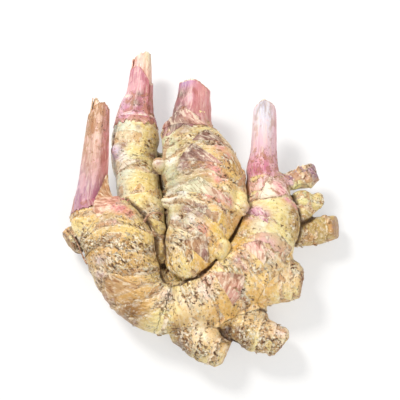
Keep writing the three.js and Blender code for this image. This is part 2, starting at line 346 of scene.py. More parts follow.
# %% One limb as a curve with its own radius at every point
BEARS_SHOOT = ("left_arm", "tall_arm", "broad_arm", "right_arm")
LIMB_BEVEL = 10  # a bevel resolution, which gives a tube four sides and two more for each step of it
TIP_LENGTH = 0.6  # of a finger's rounded tip, in radii of its end
TIP_BLUNT = 0.06  # the last share of that length, left out so that the end ring keeps some width


def sweep(name, points, radii, bevel=LIMB_BEVEL):
    """A closed tube through points, with its own radius at each."""
    deselect()
    bpy.ops.curve.primitive_nurbs_path_add()
    limb = bpy.context.object
    limb.name = name
    curve = limb.data
    curve.splines.clear()
    spline = curve.splines.new("POLY")
    spline.points.add(len(points) - 1)
    for place, point, radius in zip(spline.points, points, radii):
        place.co = (*point, 1)
        place.radius = radius
    curve.dimensions = "3D"
    curve.twist_mode = "Z_UP"
    curve.bevel_depth = 1.0
    curve.bevel_resolution = bevel
    curve.use_fill_caps = True
    make_active(limb)
    bpy.ops.object.convert(target="MESH")
    return bpy.context.object


def limb_tube(name, axis):
    """An arm's end stays flat, because its shoot stands on it. A finger's end is rounded off."""
    radii = axis.radii[::2].copy()
    if name not in BEARS_SHOOT:
        to_tip = (axis.length - axis.lengths[::2]) / (TIP_LENGTH * radii[-1])
        radii *= np.sqrt(1 - (1 - np.clip(to_tip, TIP_BLUNT, 1)) ** 3)
    return sweep(name, axis.points[::2], radii)


limbs = [limb_tube(name, axis) for name, axis in AXES.items()]
print("tubes", len(limbs), "with", sum(len(limb.data.polygons) for limb in limbs), "faces")

# %% The buds, and all of it joined
# the broad arm's buds that sit over a crevice, and a swelling between two fingers: x, y, z and radius
BROAD_BUDS = [
    (21.6, -4.4, 27.6, 4.2), (21.8, 0.4, 27.8, 3.2), (14.2, -22.6, 27.6, 3.4), (12.6, -25.6, 27.6, 2.7),
    (-16.2, 17.2, 26.4, 2.9),
]
FINGER_SWELLING = (17.4, -57, 11.5, 6)
for x, y, z, r in [*KNOBS, *BROAD_BUDS, FINGER_SWELLING]:
    place = in_room(x, y, z)
    bpy.ops.mesh.primitive_uv_sphere_add(segments=24, ring_count=14, radius=r * MM, location=place)
    limbs.append(bpy.context.object)
rhizome = join_pieces(limbs, "ginger_rhizome")
bpy.ops.object.transform_apply(location=True, rotation=True, scale=True)
print("joined limbs", len(rhizome.data.polygons), "faces")

# %% [markdown]
# ## One skin
#
# Where ginger limbs meet, the skin runs from one to the next without a seam. The tubes only pass through
# one another. A Boolean union would leave hard, thin faces along every meeting line, so the limbs are
# joined and a voxel remesh wraps them in one closed skin of even faces, small enough to be sculpted.

# %% One skin round all the limbs
SKIN_VOXEL = 0.68 * MM  # fine enough to carry a ring's lip
apply_modifier(rhizome, "REMESH", mode="VOXEL", voxel_size=SKIN_VOXEL)
apply_modifier(rhizome, "SMOOTH", factor=0.5, iterations=3)
print("skin", len(rhizome.data.vertices), "points", len(rhizome.data.polygons), "faces")

# %% [markdown]
# ## Where every point of the skin lies
#
# Rings, fibres and colour follow the arms, not the room. So every point of the skin is given its place on
# the arm that it belongs to: how far along it, how far round it, and how near the next arm is. The
# arms are told apart by how deep a point lies in each: it belongs to the one whose skin is nearest. Where
# two limbs grew as one, such as the left and right arm at the old end, no crevice lies between them.

# %% The rings of each limb, in millimetres along it
RINGS = {
    "left_arm": (6, 13, 20, 27.5, 38, 50, 60, 64.5),
    "tall_arm": (8, 19, 31, 43.5, 57, 69.5, 75),
    "broad_arm": (7, 16, 28, 33.5, 40, 46.5, 60, 66, 72, 79),
    "right_arm": (8, 18, 28, 39, 50, 61, 73, 86, 95.5),
    "old_finger": (6, 13, 20),
    "outer_finger": (5, 12, 19),
    "stub": (8, 14, 19.5),
    "side_finger": (8, 14, 20, 26),
    "side_bud": (5, 9.5, 14),
    "bud_tip": (5, 10, 14.5, 18),
    "hidden_lobe": (7, 11, 15),
    "inner_lobe": (10, 20, 30, 40),
}
# How far a ring slopes down to its arm's right side: at the arm's foot, and at its tip
SLOPES = {
    "broad_arm": (0.55, 0.02),
    "tall_arm": (0.1, 0.14),
    "left_arm": (0.6, 0.3),
    "right_arm": (0.05, 0.2),
}
# limbs that grew as one, with no crevice between them
GROWN_TOGETHER = [
    ("left_arm", "right_arm"), ("right_arm", "stub"), ("right_arm", "bud_tip"), ("side_bud", "bud_tip"),
    ("right_arm", "old_finger"), ("right_arm", "outer_finger"),
]
print("rings", sum(len(rings) for rings in RINGS.values()))

# %% Each point's own limb
BLOCK = 20000  # points measured at a time, which keeps the table of distances small
BUD_REACH = 1.15  # how far from its middle a bud's own skin lies, in radii
BUD_LEAD = 5 * MM  # how much nearer to its own arm a bud's points are taken to be


def place_on(axis, points):
    """Each point's length along an axis, its offsets across it, and its height over the skin."""
    nearest = np.empty(len(points), dtype=int)
    for start in range(0, len(points), BLOCK):
        gaps = points[start : start + BLOCK, None, :] - axis.points[None, ::2, :]
        nearest[start : start + BLOCK] = np.argmin((gaps**2).sum(2), axis=1) * 2
    offset = points - axis.points[nearest]
    beyond = np.einsum("ij,ij->i", offset, axis.along[nearest])
    across = np.einsum("ij,ij->i", offset, axis.side[nearest])
    up = np.einsum("ij,ij->i", offset, axis.over[nearest])
    length = axis.lengths[nearest] + beyond
    height = np.linalg.norm(offset, axis=1) - axis.radii[nearest]
    return length, across, up, height


skin = points_of(rhizome.data)
names = list(AXES)
heights = np.empty((len(skin), len(AXES)))
spots = np.empty((len(skin), len(AXES), 3))
for k, axis in enumerate(AXES.values()):
    length, across, up, heights[:, k] = place_on(axis, skin)
    spots[:, k] = np.column_stack([across, up, length])
for x, y, z, r in BROAD_BUDS:  # a bud is the broad arm's own, however near the next arm is
    bud = np.linalg.norm(skin - np.array(in_room(x, y, z)), axis=1) < BUD_REACH * r * MM
    heights[bud, names.index("broad_arm")] -= BUD_LEAD
owner = np.argmin(heights, axis=1)
rows = np.arange(len(skin))
across, up, along = spots[rows, owner].T
round_angle = np.arctan2(up, across)
limb_radius = np.array([axis.radii.mean() for axis in AXES.values()])[owner]
print("points of each limb", {name: int((owner == k).sum()) for k, name in enumerate(names)})


# %% How near the next limb is
def gap_to_next(apart):
    """How much higher a point lies over the nearest other limb's skin; apart says which limbs count."""
    others = np.where(apart[owner], heights, np.inf)
    return others.min(1) - heights[rows, owner]


apart = ~np.eye(len(names), dtype=bool)
join = gap_to_next(apart)  # small where two limbs meet
for one, other in GROWN_TOGETHER:
    i, j = names.index(one), names.index(other)
    apart[i, j] = apart[j, i] = False
fold = gap_to_next(apart)  # small where a crevice lies between two limbs
web = gap_to_next(~apart & ~np.eye(len(names), dtype=bool))  # small where two limbs grew as one
for title, gap in (("in a crevice", fold), ("where two limbs grew as one", web)):
    print("points", title, int((gap < 1 * MM).sum()))

# %% Each point's joint between two rings
def ring_shift(name, points, along, across, angle):
    """How far back a limb's rings lie at some points, for they slope and wander as they go round it."""
    slope = np.interp(along / AXES[name].length, (0, 1), SLOPES.get(name, (0, 0)))
    wander = waves(points, 11 * MM, 1.0) * 1.3 * MM + waves(points, 3.5 * MM, 2.0) * 0.4 * MM
    return wander + slope * across + 0.9 * MM * np.sin(2 * angle + names.index(name))


NO_RING = 400.0  # millimetres: further than any limb reaches, so the first and the last joint stay open
FOOT_HEIGHT = 8.5 * MM  # of the torn foot of an old leaf, where its ring is strongest
draw = np.random.default_rng(11)
reach = along.copy()
above_ring, below_ring = np.empty(len(skin)), np.empty(len(skin))
ring_under, ring_over = np.empty(len(skin)), np.empty(len(skin))  # how strong each ring is
joint_tone = np.empty(len(skin))  # how old and dark the skin of one joint is
torn_foot = np.empty(len(skin))  # how high the torn foot of the old leaf reaches above its ring
for k, name in enumerate(names):
    mine = owner == k
    reach[mine] += ring_shift(name, skin[mine], along[mine], across[mine], round_angle[mine])
    rings = np.array((-NO_RING, *RINGS[name], NO_RING)) * MM
    strength = draw.uniform(0.35, 1.0, len(rings))
    joint = np.clip(np.searchsorted(rings, reach[mine]) - 1, 0, len(rings) - 2)
    above_ring[mine] = reach[mine] - rings[joint]
    below_ring[mine] = rings[joint + 1] - reach[mine]
    ring_under[mine] = strength[joint]
    ring_over[mine] = strength[joint + 1]
    joint_tone[mine] = draw.uniform(-1, 1, len(rings))[joint]
    turn = round_angle[mine] + 0.06 * above_ring[mine] / MM
    lobes = np.column_stack([np.cos(turn), np.sin(turn), 3.7 * joint + 11 * k])
    torn_foot[mine] = FOOT_HEIGHT * strength[joint] * ease(-0.2, 0.5, waves(lobes, 0.8, 15.0, 3))
print("highest torn foot in mm", round(torn_foot.max() / MM, 1))

# %% [markdown]
# ## Sculpting the joints
#
# Between two rings the flesh swells. Below a ring it ends in a thin raised lip, and just above it the next
# joint starts in a narrow groove. On top of that come broad lumps, finer dimples, and the short creases
# of a skin that has begun to dry, which run with the rings. All are small moves along the skin's own
# normal. The old fingers end where they were snapped off, so their round tips are pressed flat.

# %% Where the skin is old and papery, and where it is still smooth: x, y and reach in millimetres
PAPERY = [
    (-4, 28, 8), (4, 29, 7), (10, 26, 6), (0, 15, 6), (18, 16, 6), (-2, -8, 6), (4, -17, 7), (-8, -23, 7),
    (7, -22, 5), (17, 6, 4), (19, -7, 2.6), (-20, 31, 4), (-26.6, 37, 2),
    (-38, -28, 9), (-30, -28, 8), (-45, -22, 7), (-36, -35, 7), (-20, -28, 7), (-14, -35, 6),
    (-52, -22, 7), (-12, -47, 6), (0, -46, 8), (8, -43, 8), (20, -43, 7), (23, -31, 6), (35, -30, 5),
    (29, -36, 5), (48, -11, 5), (50, -34, 6), (-4, -62, 6), (24, -60, 6), (36, -64, 6), (-22, 25, 4),
    (-20, -5, 7), (-22, 17, 4), (4, -69, 5), (50, -29, 4), (30, -53, 4),
]
SMOOTH = [
    (-12, 22, 7), (0, 6, 7), (-8, 8, 6), (13, -12, 6), (4, -30, 6), (22, -1, 5), (-10, 0, 4), (-30, 36, 7),
    (-28, 29, 5), (-31, 14, 8), (-24, 8, 6), (-38, -13, 6), (-30, -44, 8), (-24, -47, 6), (38, -5, 7),
    (34, -17, 9), (32, -43, 8), (22, -17, 6), (12, -50, 6), (-2, -54, 6), (58, -12, 9), (52, 4, 8),
    (46, 12, 5), (54, 15, 5), (14.5, -23.4, 3), (8, -63, 5), (14, -71, 4), (42, -59, 5), (32, -61, 3),
]


def wander_of(points):
    """A small sideways wander that makes the edges of patches uneven, in shares of their reach."""
    return 0.4 * np.column_stack([waves(points, 5 * MM, 31.0, 2), waves(points, 5 * MM, 32.0, 2)])


def near(points, wander, spots):
    """How near each point is to the closest of some spots on the plan, from 0 to 1."""
    closeness = np.zeros(len(points))
    for x, y, reach in spots:
        centre = np.array(in_room(x, y, 0))[:2]
        offset = (points[:, :2] - centre) / (reach * MM) + wander
        closeness = np.maximum(closeness, np.exp(-(offset**2).sum(1)))
    return closeness


limb_names = np.array(names)[owner]
is_finger = np.isin(limb_names, ("old_finger", "outer_finger", "stub", "hidden_lobe"))
wander = wander_of(skin)
worn = 0.4 - 0.06 * is_finger - 0.002 * skin[:, 1] / MM
worn = worn + 0.34 * near(skin, wander, PAPERY) - 0.42 * near(skin, wander, SMOOTH)
worn = worn + 0.2 * waves(skin, 8 * MM, 12.0, 3) + 0.1 * joint_tone
worn = worn + 0.16 * np.exp(-above_ring / (3 * MM)) - 0.26 * np.exp(-below_ring / (3.5 * MM))
print("papery share of the skin", round(float((worn > 0.5).mean()), 2))

# %% The skin's moves
LIMB_STRIDE = 50 * MM  # sets the limbs apart in the noise, so that no two have the same marks
LIP, OLD_LIP = 0.8 * MM, 0.4 * MM  # how far a lip stands out below its ring, on arms and on old fingers
GROOVE = 0.8 * MM  # how deep the groove above a ring is
FOLD_DEPTH = 1.0 * MM  # how far the skin is pressed into a crevice
WEB_FILL = 1.3 * MM  # and how far it is filled out where two limbs grew as one
joint_room = np.clip(above_ring + below_ring, 3 * MM, 14 * MM)
share = np.clip(above_ring / joint_room, 0, 1)
calm = ease(0.2 * MM, 2.4 * MM, join)
marked = 0.2 + 0.8 * ease(-0.25, 0.3, waves(skin, 14 * MM, 8.0))  # a ring fades away in places
marked = marked * np.where(np.isin(limb_names, ("tall_arm", "left_arm")), 0.55, 1.0)  # smoother arms
bulge = 0.05 * limb_radius * (np.sin(math.pi * share) ** 0.8 - 0.35)
broken = 0.3 + 0.7 * ease(-0.25, 0.25, waves(skin, 6 * MM, 3.0))  # a lip is torn away here and there
lip = np.where(is_finger, OLD_LIP, LIP) * ring_over * np.exp(-below_ring / (1.1 * MM))
groove = -GROOVE * ring_under * np.exp(-above_ring / (0.8 * MM))
on_limb = np.column_stack([across + owner * LIMB_STRIDE, up, reach])
creases = waves(on_limb, np.array((4.5, 4.5, 1.9)) * MM, 9.0, 2) * 0.3 * MM * ease(0.3, 0.8, worn)
lumps = waves(skin, 15 * MM, 4.0) * 1.4 * MM + waves(skin, 7 * MM, 5.0) * 0.8 * MM
dimples = waves(skin, 2.8 * MM, 6.0, 2) * 0.18 * MM
crevice = WEB_FILL * (1 - ease(0.0, 4 * MM, web)) - FOLD_DEPTH * (1 - ease(0.0, 1.6 * MM, fold))
wither = waves(skin, 2.4 * MM, 7.0, 2) * 0.9 * MM * (limb_names == "bud_tip")
ringed = bulge + lip * broken + groove
move = calm * marked * ringed + lumps * (0.35 + 0.65 * calm) + creases + dimples + crevice + wither
skin = skin + normals_of(rhizome.data) * move[:, None]
print("moves in mm", round(move.min() / MM, 2), "to", round(move.max() / MM, 2))

# %% The broken ends
# limb, millimetres cut off its tip, the cut's slope sideways and upwards, and its roughness in millimetres
BROKEN_ENDS = [
    ("old_finger", 0.8, -0.1, 0.1, 0.4),
    ("outer_finger", 1.2, 0.5, 0.1, 0.5),
    ("stub", 1.2, 0.35, 0.1, 1.1),
    ("side_finger", 2.0, 0.3, 0.55, 0.3),
    ("hidden_lobe", 1.2, 0.2, 0.3, 0.5),
]
FLATTENED = 0.88  # how much of what stands beyond the cut is pressed back; a wholly flat end looks sawn
END_REACH = 2.2  # how far from its tip, in radii, a limb can be part of its broken end
end_face = np.zeros(len(skin))
for name, cut, sideways, upwards, rough in BROKEN_ENDS:
    axis = AXES[name]
    tip, outwards = axis.points[-1], axis.along[-1]
    facing = outwards + sideways * axis.side[-1] + upwards * axis.over[-1]
    facing /= np.linalg.norm(facing)
    beyond = (skin - (tip - outwards * cut * MM)) @ facing
    close = np.linalg.norm(skin - tip, axis=1) < END_REACH * axis.radii[-1]
    close &= limb_names == name
    mine = close & (beyond > 0)
    dent = 0.7 * rough * MM * waves(skin[mine], 2.2 * MM, 14.0, 2)
    skin[mine] -= facing * (beyond[mine] * FLATTENED - dent)[:, None]
    end_face[close] = np.maximum(end_face[close], ease(-1.2 * MM, 0.4 * MM, beyond[close]))
skin[:, 2] = np.maximum(skin[:, 2], 0.0)
move_points(rhizome.data, skin)
apply_modifier(rhizome, "SMOOTH", factor=0.25, iterations=1)
make_active(rhizome)
bpy.ops.object.shade_smooth()
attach(rhizome, "root")
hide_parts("rhizome")
print("sculpted box in mm", points_of(rhizome.data).min(0) / MM, points_of(rhizome.data).max(0) / MM)

# %% [markdown]
# ## Paint
#
# Every finish here is a stack of layers, as a glaze is: a base tint, patches over it with a soft or a
# crisp edge, lines, specks. The broad tints are brushed onto the mesh's points, as vertex paint is. The
# fine layers are nodes. A small class keeps the node tree of one material and adds layers to it.

# %% The root's colours
def srgb(red, green, blue):
    """A colour given as 0 to 255, as the renderer's linear colour."""
    parts = [c / 255 for c in (red, green, blue)]
    return (*[p / 12.92 if p <= 0.04045 else ((p + 0.055) / 1.055) ** 2.4 for p in parts], 1.0)


CREAM = srgb(244, 226, 156)
PALE_GREEN = srgb(212, 216, 182)
WHITE = srgb(252, 246, 236)
YELLOW = srgb(244, 206, 102)
GOLD = srgb(220, 172, 80)
TAN = srgb(206, 166, 104)
BARK = srgb(172, 116, 66)
DARK_BARK = srgb(96, 58, 30)
SOIL = srgb(70, 46, 30)
FLAKE = srgb(254, 241, 214)
LILAC = srgb(222, 184, 212)
PINK = srgb(232, 150, 152)
MAGENTA = srgb(206, 110, 142)
SALMON = srgb(232, 156, 148)
OLIVE = srgb(202, 180, 124)
MURREY = srgb(172, 134, 130)  # brownish purple
BUFF = srgb(224, 189, 124)
PALE_ROSE = srgb(238, 188, 184)


# %% Brushes
BRUSH_STRENGTH = 1.3  # over 1, so that the middle of a dab is its full colour


def store(piece, name, values):
    """A named number, vector or colour on every point of a piece, for its material to read."""
    values = np.asarray(values, dtype=np.float32)
    width = 1 if values.ndim == 1 else values.shape[1]
    kind, field = {1: ("FLOAT", "value"), 3: ("FLOAT_VECTOR", "vector"), 4: ("FLOAT_COLOR", "color")}[width]
    layer = piece.data.attributes.new(name, kind, "POINT")
    layer.data.foreach_set(field, values.ravel())


def cover(count, base, layers=()):
    """A base tint on every point, and over it other tints, each a colour and its amount at every point."""
    tint = np.tile(np.array(base), (count, 1))
    for colour, amount in layers:
        amount = np.clip(amount, 0, 1)[:, None]
        tint = tint * (1 - amount) + np.array(colour) * amount
    return tint


def brush(points, wander, base, dabs):
    """A base tint with dabs of other tints over it, each a colour and its spots on the plan."""
    layers = [(colour, BRUSH_STRENGTH * near(points, wander, spots)) for colour, spots in dabs]
    return cover(len(points), base, layers)


# %% The skin's tints: a colour, and its spots by x, y and reach in millimetres
SKIN_DABS = [
    # the broad arm
    (PALE_GREEN, [(-12, 28, 6), (-12, 20, 6), (-10, 11, 6), (-8, -12, 6), (-9, 4, 6)]),
    (OLIVE, [(-4, 30, 6), (-3, 24, 6), (3, 27, 5), (-1, 7, 6), (5, 6, 5)]),
    (srgb(158, 120, 108), [(8, 28, 4), (11, 25, 3), (-3, 14, 4), (2, 16, 4.5), (5, 13, 4)]),
    (srgb(158, 120, 108), [(-2, -7, 4), (4, -8, 4)]),
    (YELLOW, [(13, 29, 4), (13, -10, 5), (12, -16, 5)]),
    (srgb(226, 182, 124), [(14, 21, 6), (18, 12, 6), (20, 6, 4), (18, -10, 5)]),
    (srgb(244, 222, 152), [(21.6, -3, 4), (14.5, -23.4, 3.6)]),
    (srgb(202, 168, 158), [(-16.4, 17.2, 2.4)]),
    (SALMON, [(13, 25, 3), (17, 18, 2.6)]),
    (SALMON, [
        (10, 11, 3.5), (13, 7, 3), (7, 0, 3.5), (12, -2, 3.5), (16, -3, 2.5), (4, -17, 4), (7, -22, 3),
    ]),
    (GOLD, [(4, -30, 6), (20, 15, 3)]),
    (BUFF, [(-8, -23, 6), (-12, -18, 5)]),
    (MURREY, [(11, -24, 2.2)]),
    (WHITE, [(-10, 0, 3.5), (-10, 18, 2.4), (-8, -10, 2.5), (-5, 3, 3), (0, -12, 2.4)]),
    # the tall arm
    (srgb(212, 218, 196), [(-35, 37, 6), (-35, 30, 5), (-34, 16, 7), (-33, 8, 6), (-30, 14, 5)]),
    (srgb(232, 208, 134), [(-25, 29, 6), (-22, 36, 4), (-24, 8, 7), (-22, -2, 6), (-20, -12, 6)]),
    (srgb(210, 188, 208), [(-37, 25, 3)]),
    (srgb(150, 112, 84), [(-33.5, 28.4, 2.4), (-26.6, 37, 1.4), (-19.5, 24, 1.8)]),
    (WHITE, [(-34, 22, 2.2)]),
    # the left arm
    (srgb(230, 188, 124), [(-40, -22, 12), (-33, -34, 12), (-25, -44, 9)]),
    (PINK, [(-44, -3, 4), (-38, -4, 4), (-33, -6, 3.4), (-29, -8, 2.6)]),
    (GOLD, [(-56, -5, 5), (-49, -8, 3)]),
    (srgb(236, 205, 128), [(-40, -15, 5), (-32, -14, 5), (-26, -18, 5), (-20, -25, 5), (-14, -32, 6)]),
    (srgb(216, 172, 102), [(-38, -28, 7), (-30, -32, 7), (-46, -26, 6), (-31, -44, 8), (-24, -48, 6)]),
    (srgb(214, 190, 182), [(-42, -30, 3), (-42, -36, 3)]),
    (BARK, [(-30, -55, 6), (-40, -46, 5)]),
    # the right arm and its foot
    (BUFF, [(0, -50, 8), (12, -50, 7), (-4, -57, 6)]),
    (srgb(244, 224, 212), [(-12, -46, 3.4), (4, -43, 3)]),
    (PALE_ROSE, [(7, -39, 3.6), (17, -41, 4), (21, -45, 3.6), (24, -49, 2.6)]),
    (GOLD, [(17, -52, 5), (22, -17, 4), (22, -23, 4), (25, -12, 3), (30, -46, 5)]),
    (srgb(238, 192, 110), [(33, -40, 7), (38, -36, 6), (44, -27, 4), (12, -52, 6), (27, -47, 5)]),
    (srgb(208, 158, 162), [(22, -30, 4), (24, -33, 3), (29, -7, 4.5), (33, -9, 3.4)]),
    (PALE_ROSE, [(31, -24, 4), (35, -27, 3)]),
    (FLAKE, [(30, -35, 2.6), (35, -31, 3.4), (31, 2.5, 2.4)]),
    (srgb(238, 154, 168), [(36, 11, 4), (41, 6, 3.6), (45, 1, 3), (48, -2, 2)]),
    (BARK, [(48, -12, 3.4), (48, -6, 2.4)]),
    # the side buds and the fingers
    (srgb(154, 108, 128), [(45, 12, 4), (52, 15, 5), (58, 17, 6)]),
    (srgb(228, 222, 156), [(52, 4, 4), (50, 9, 2)]),
    (srgb(178, 146, 80), [(55, -12, 9), (64, -10, 8)]),
    (srgb(238, 204, 148), [
        (6, -62, 7), (12, -68, 6), (28, -56, 6), (36, -58, 6), (46, -36, 7), (42, -34, 6),
    ]),
    # painted shade on the lower-left sides of the fingers, with one more dark spot at the stub's end
    (srgb(136, 98, 64), [(-5, -65, 3.6), (-2, -68, 3), (21, -62, 3.6), (24, -66, 3.4), (52, -34, 2.5)]),
    # painted shade in the crevice between the two fingers
    (DARK_BARK, [(16, -60, 3), (15, -64, 3)]),
    # paler and browner patches over all of these, partly the skin's own tone and partly painted light and
    # shade
    (srgb(192, 158, 110), [(-39, -12, 4.6)]),
    (srgb(150, 108, 62), [(-28.5, -52, 4)]),
    (srgb(252, 232, 192), [(-19.5, -4, 4), (-6.5, -20.5, 4), (0, -47.5, 5), (3.5, -62, 4), (47.5, -33, 3)]),
    (srgb(250, 224, 206), [(34.5, -22, 3), (7, -44, 3), (40, -60, 3.4)]),
    (srgb(226, 214, 178), [(-29, 34, 4), (31, -14, 4)]),
    (srgb(178, 150, 124), [(-8, 40, 4), (-4, 34, 4)]),
    (srgb(192, 158, 84), [(23, -16.5, 3.4), (55, -14, 6)]),
    (srgb(246, 206, 122), [(31, -34.5, 4), (4, -26.5, 4), (19, 8, 3.4), (9, -24, 3)]),
    # painted shade on the lower-left sides of the fingers
    (srgb(116, 80, 54), [(-4, -65.5, 2.6), (-7, -61, 2.2), (21, -62, 2.4)]),
]
# The torn feet of the old scale leaves, which are browner or rosier than the skin under them
SCALE_DABS = [
    (srgb(160, 128, 118), [(2, 16, 8), (8, 28, 7), (-4, 30, 6), (4, -8, 6), (-2, -10, 6)]),
    (srgb(206, 150, 138), [(12, 8, 6), (13, -4, 6), (4, -18, 7), (20, 14, 6)]),
    (srgb(172, 124, 128), [(8, -23, 5), (30, -8, 6), (22, -30, 6)]),
    (srgb(226, 168, 168), [(35, -24, 7), (20, -42, 8), (36, 4, 8), (-33, -6, 7), (44, -2, 5)]),
    (srgb(214, 192, 150), [(-34, 16, 8), (-30, 36, 8), (-12, 4, 6), (40, -14, 6)]),
    (srgb(216, 164, 104), [(-24, 8, 8), (-22, 30, 6), (60, -10, 9)]),
]
print("dabs", len(SKIN_DABS), "on the skin and", len(SCALE_DABS), "on the torn feet")

# %% What the skin's material reads at every point
SPECKLED = ("left_arm", "old_finger", "outer_finger", "stub")
DOT_SQUEEZE = 1.7  # how much shorter the strokes are there, which makes them dots
store(rhizome, "tint", brush(skin, wander, CREAM, SKIN_DABS))
store(rhizome, "scale_tint", brush(skin, wander, srgb(196, 146, 98), SCALE_DABS))
store(rhizome, "over_foot", above_ring - torn_foot * calm)
squeeze = np.where(np.isin(limb_names, SPECKLED), DOT_SQUEEZE, 1.0)
ring_place = np.column_stack([across * squeeze + owner * LIMB_STRIDE, up * squeeze, reach])
store(rhizome, "ring_place", ring_place)
store(rhizome, "above_ring", above_ring)
store(rhizome, "below_ring", below_ring)
store(rhizome, "ring_mark", calm * marked * ring_under)
# painted shade: how deep in a crevice between two limbs a point lies, for the material to darken it
store(rhizome, "crevice_shade", 1 - ease(0.0, 3.0 * MM, fold))
store(rhizome, "worn", np.clip(worn, 0, 1))
store(rhizome, "end_face", end_face)
print("attributes of the skin", len(rhizome.data.attributes))

# %% A stack of layers
FLESH_DEPTH = (0.003, 0.0015, 0.0008)  # metres that red, green and blue light go into the flesh


class Finish:
    """One material's node tree, built up layer by layer."""

    def __init__(self, name):
        self.material = bpy.data.materials.new(name)
        self.material.use_nodes = True
        self.tree = self.material.node_tree
        self.shader = self.tree.nodes["Principled BSDF"]
        self.normal = None

    def add(self, kind, inputs=None, **settings):
        return add_node(self.tree, kind, inputs, **settings)

    def number(self, name):
        return self.add("ShaderNodeAttribute", attribute_name=name).outputs["Fac"]

    def vector(self, name):
        return self.add("ShaderNodeAttribute", attribute_name=name).outputs["Vector"]

    def colour(self, name):
        return self.add("ShaderNodeAttribute", attribute_name=name).outputs["Color"]

    def object_place(self):
        return self.add("ShaderNodeTexCoord").outputs["Object"]

    def math(self, kind, a, b=0.0):
        return self.add("ShaderNodeMath", {0: a, 1: b}, operation=kind).outputs[0]

    def plus(self, a, b):
        return self.math("ADD", a, b)

    def minus(self, a, b):
        return self.math("SUBTRACT", a, b)

    def times(self, a, b):
        return self.math("MULTIPLY", a, b)

    def swing(self, cloud, amount):
        """A cloud's noise as a swing about nothing, of an amount from its lowest to its highest."""
        return self.times(self.minus(cloud, 0.5), amount)

    def above(self, value, low, high):
        """0 below low, 1 above high, smooth between."""
        inputs = {"Value": value, "From Min": low, "From Max": high}
        return self.add("ShaderNodeMapRange", inputs, interpolation_type="SMOOTHSTEP").outputs["Result"]

    def below(self, value, low, high):
        """1 below low, 0 above high, smooth between."""
        return self.minus(1.0, self.above(value, low, high))

    def cloud(self, place, size, detail=3.0, rough=0.55, warp=0.0, turn=0.0):
        """Noise whose clouds are about size millimetres, one size or one for each axis, turned in degrees."""
        sizes = size if isinstance(size, tuple) else (size, size, size)
        scale, rotation = tuple(s * MM for s in sizes), (0, 0, math.radians(turn))
        inputs = {"Vector": place, "Scale": scale, "Rotation": rotation}
        mapped = self.add("ShaderNodeMapping", inputs, vector_type="TEXTURE").outputs["Vector"]
        inputs = {"Vector": mapped, "Scale": 1.0, "Detail": detail, "Roughness": rough, "Distortion": warp}
        return self.add("ShaderNodeTexNoise", inputs).outputs["Fac"]

    def mix(self, amount, under, over, kind="MIX"):
        node = self.add("ShaderNodeMix", data_type="RGBA", blend_type=kind, clamp_factor=True)
        for name, value in (("Factor", amount), ("A", under), ("B", over)):
            set_input(self.tree, node.inputs[name], value)
        return node.outputs["Result"]

    def relief(self, height, distance, strength=1.0):
        inputs = {"Height": height, "Distance": distance * MM, "Strength": strength}
        if self.normal is not None:
            inputs["Normal"] = self.normal
        self.normal = self.add("ShaderNodeBump", inputs).outputs["Normal"]

    def moist(self, weight=0.08):
        """Light that goes a little way into flesh and comes out warmer."""
        self.shader.inputs["Subsurface Weight"].default_value = weight
        self.shader.inputs["Subsurface Radius"].default_value = FLESH_DEPTH

    def finish(self, colour, roughness):
        set_input(self.tree, self.shader.inputs["Base Color"], colour)
        set_input(self.tree, self.shader.inputs["Roughness"], roughness)
        if self.normal is not None:
            set_input(self.tree, self.shader.inputs["Normal"], self.normal)
        print(self.material.name, len(self.tree.nodes), "nodes")
        return self.material


def coat(piece, material):
    piece.data.materials.clear()
    piece.data.materials.append(material)
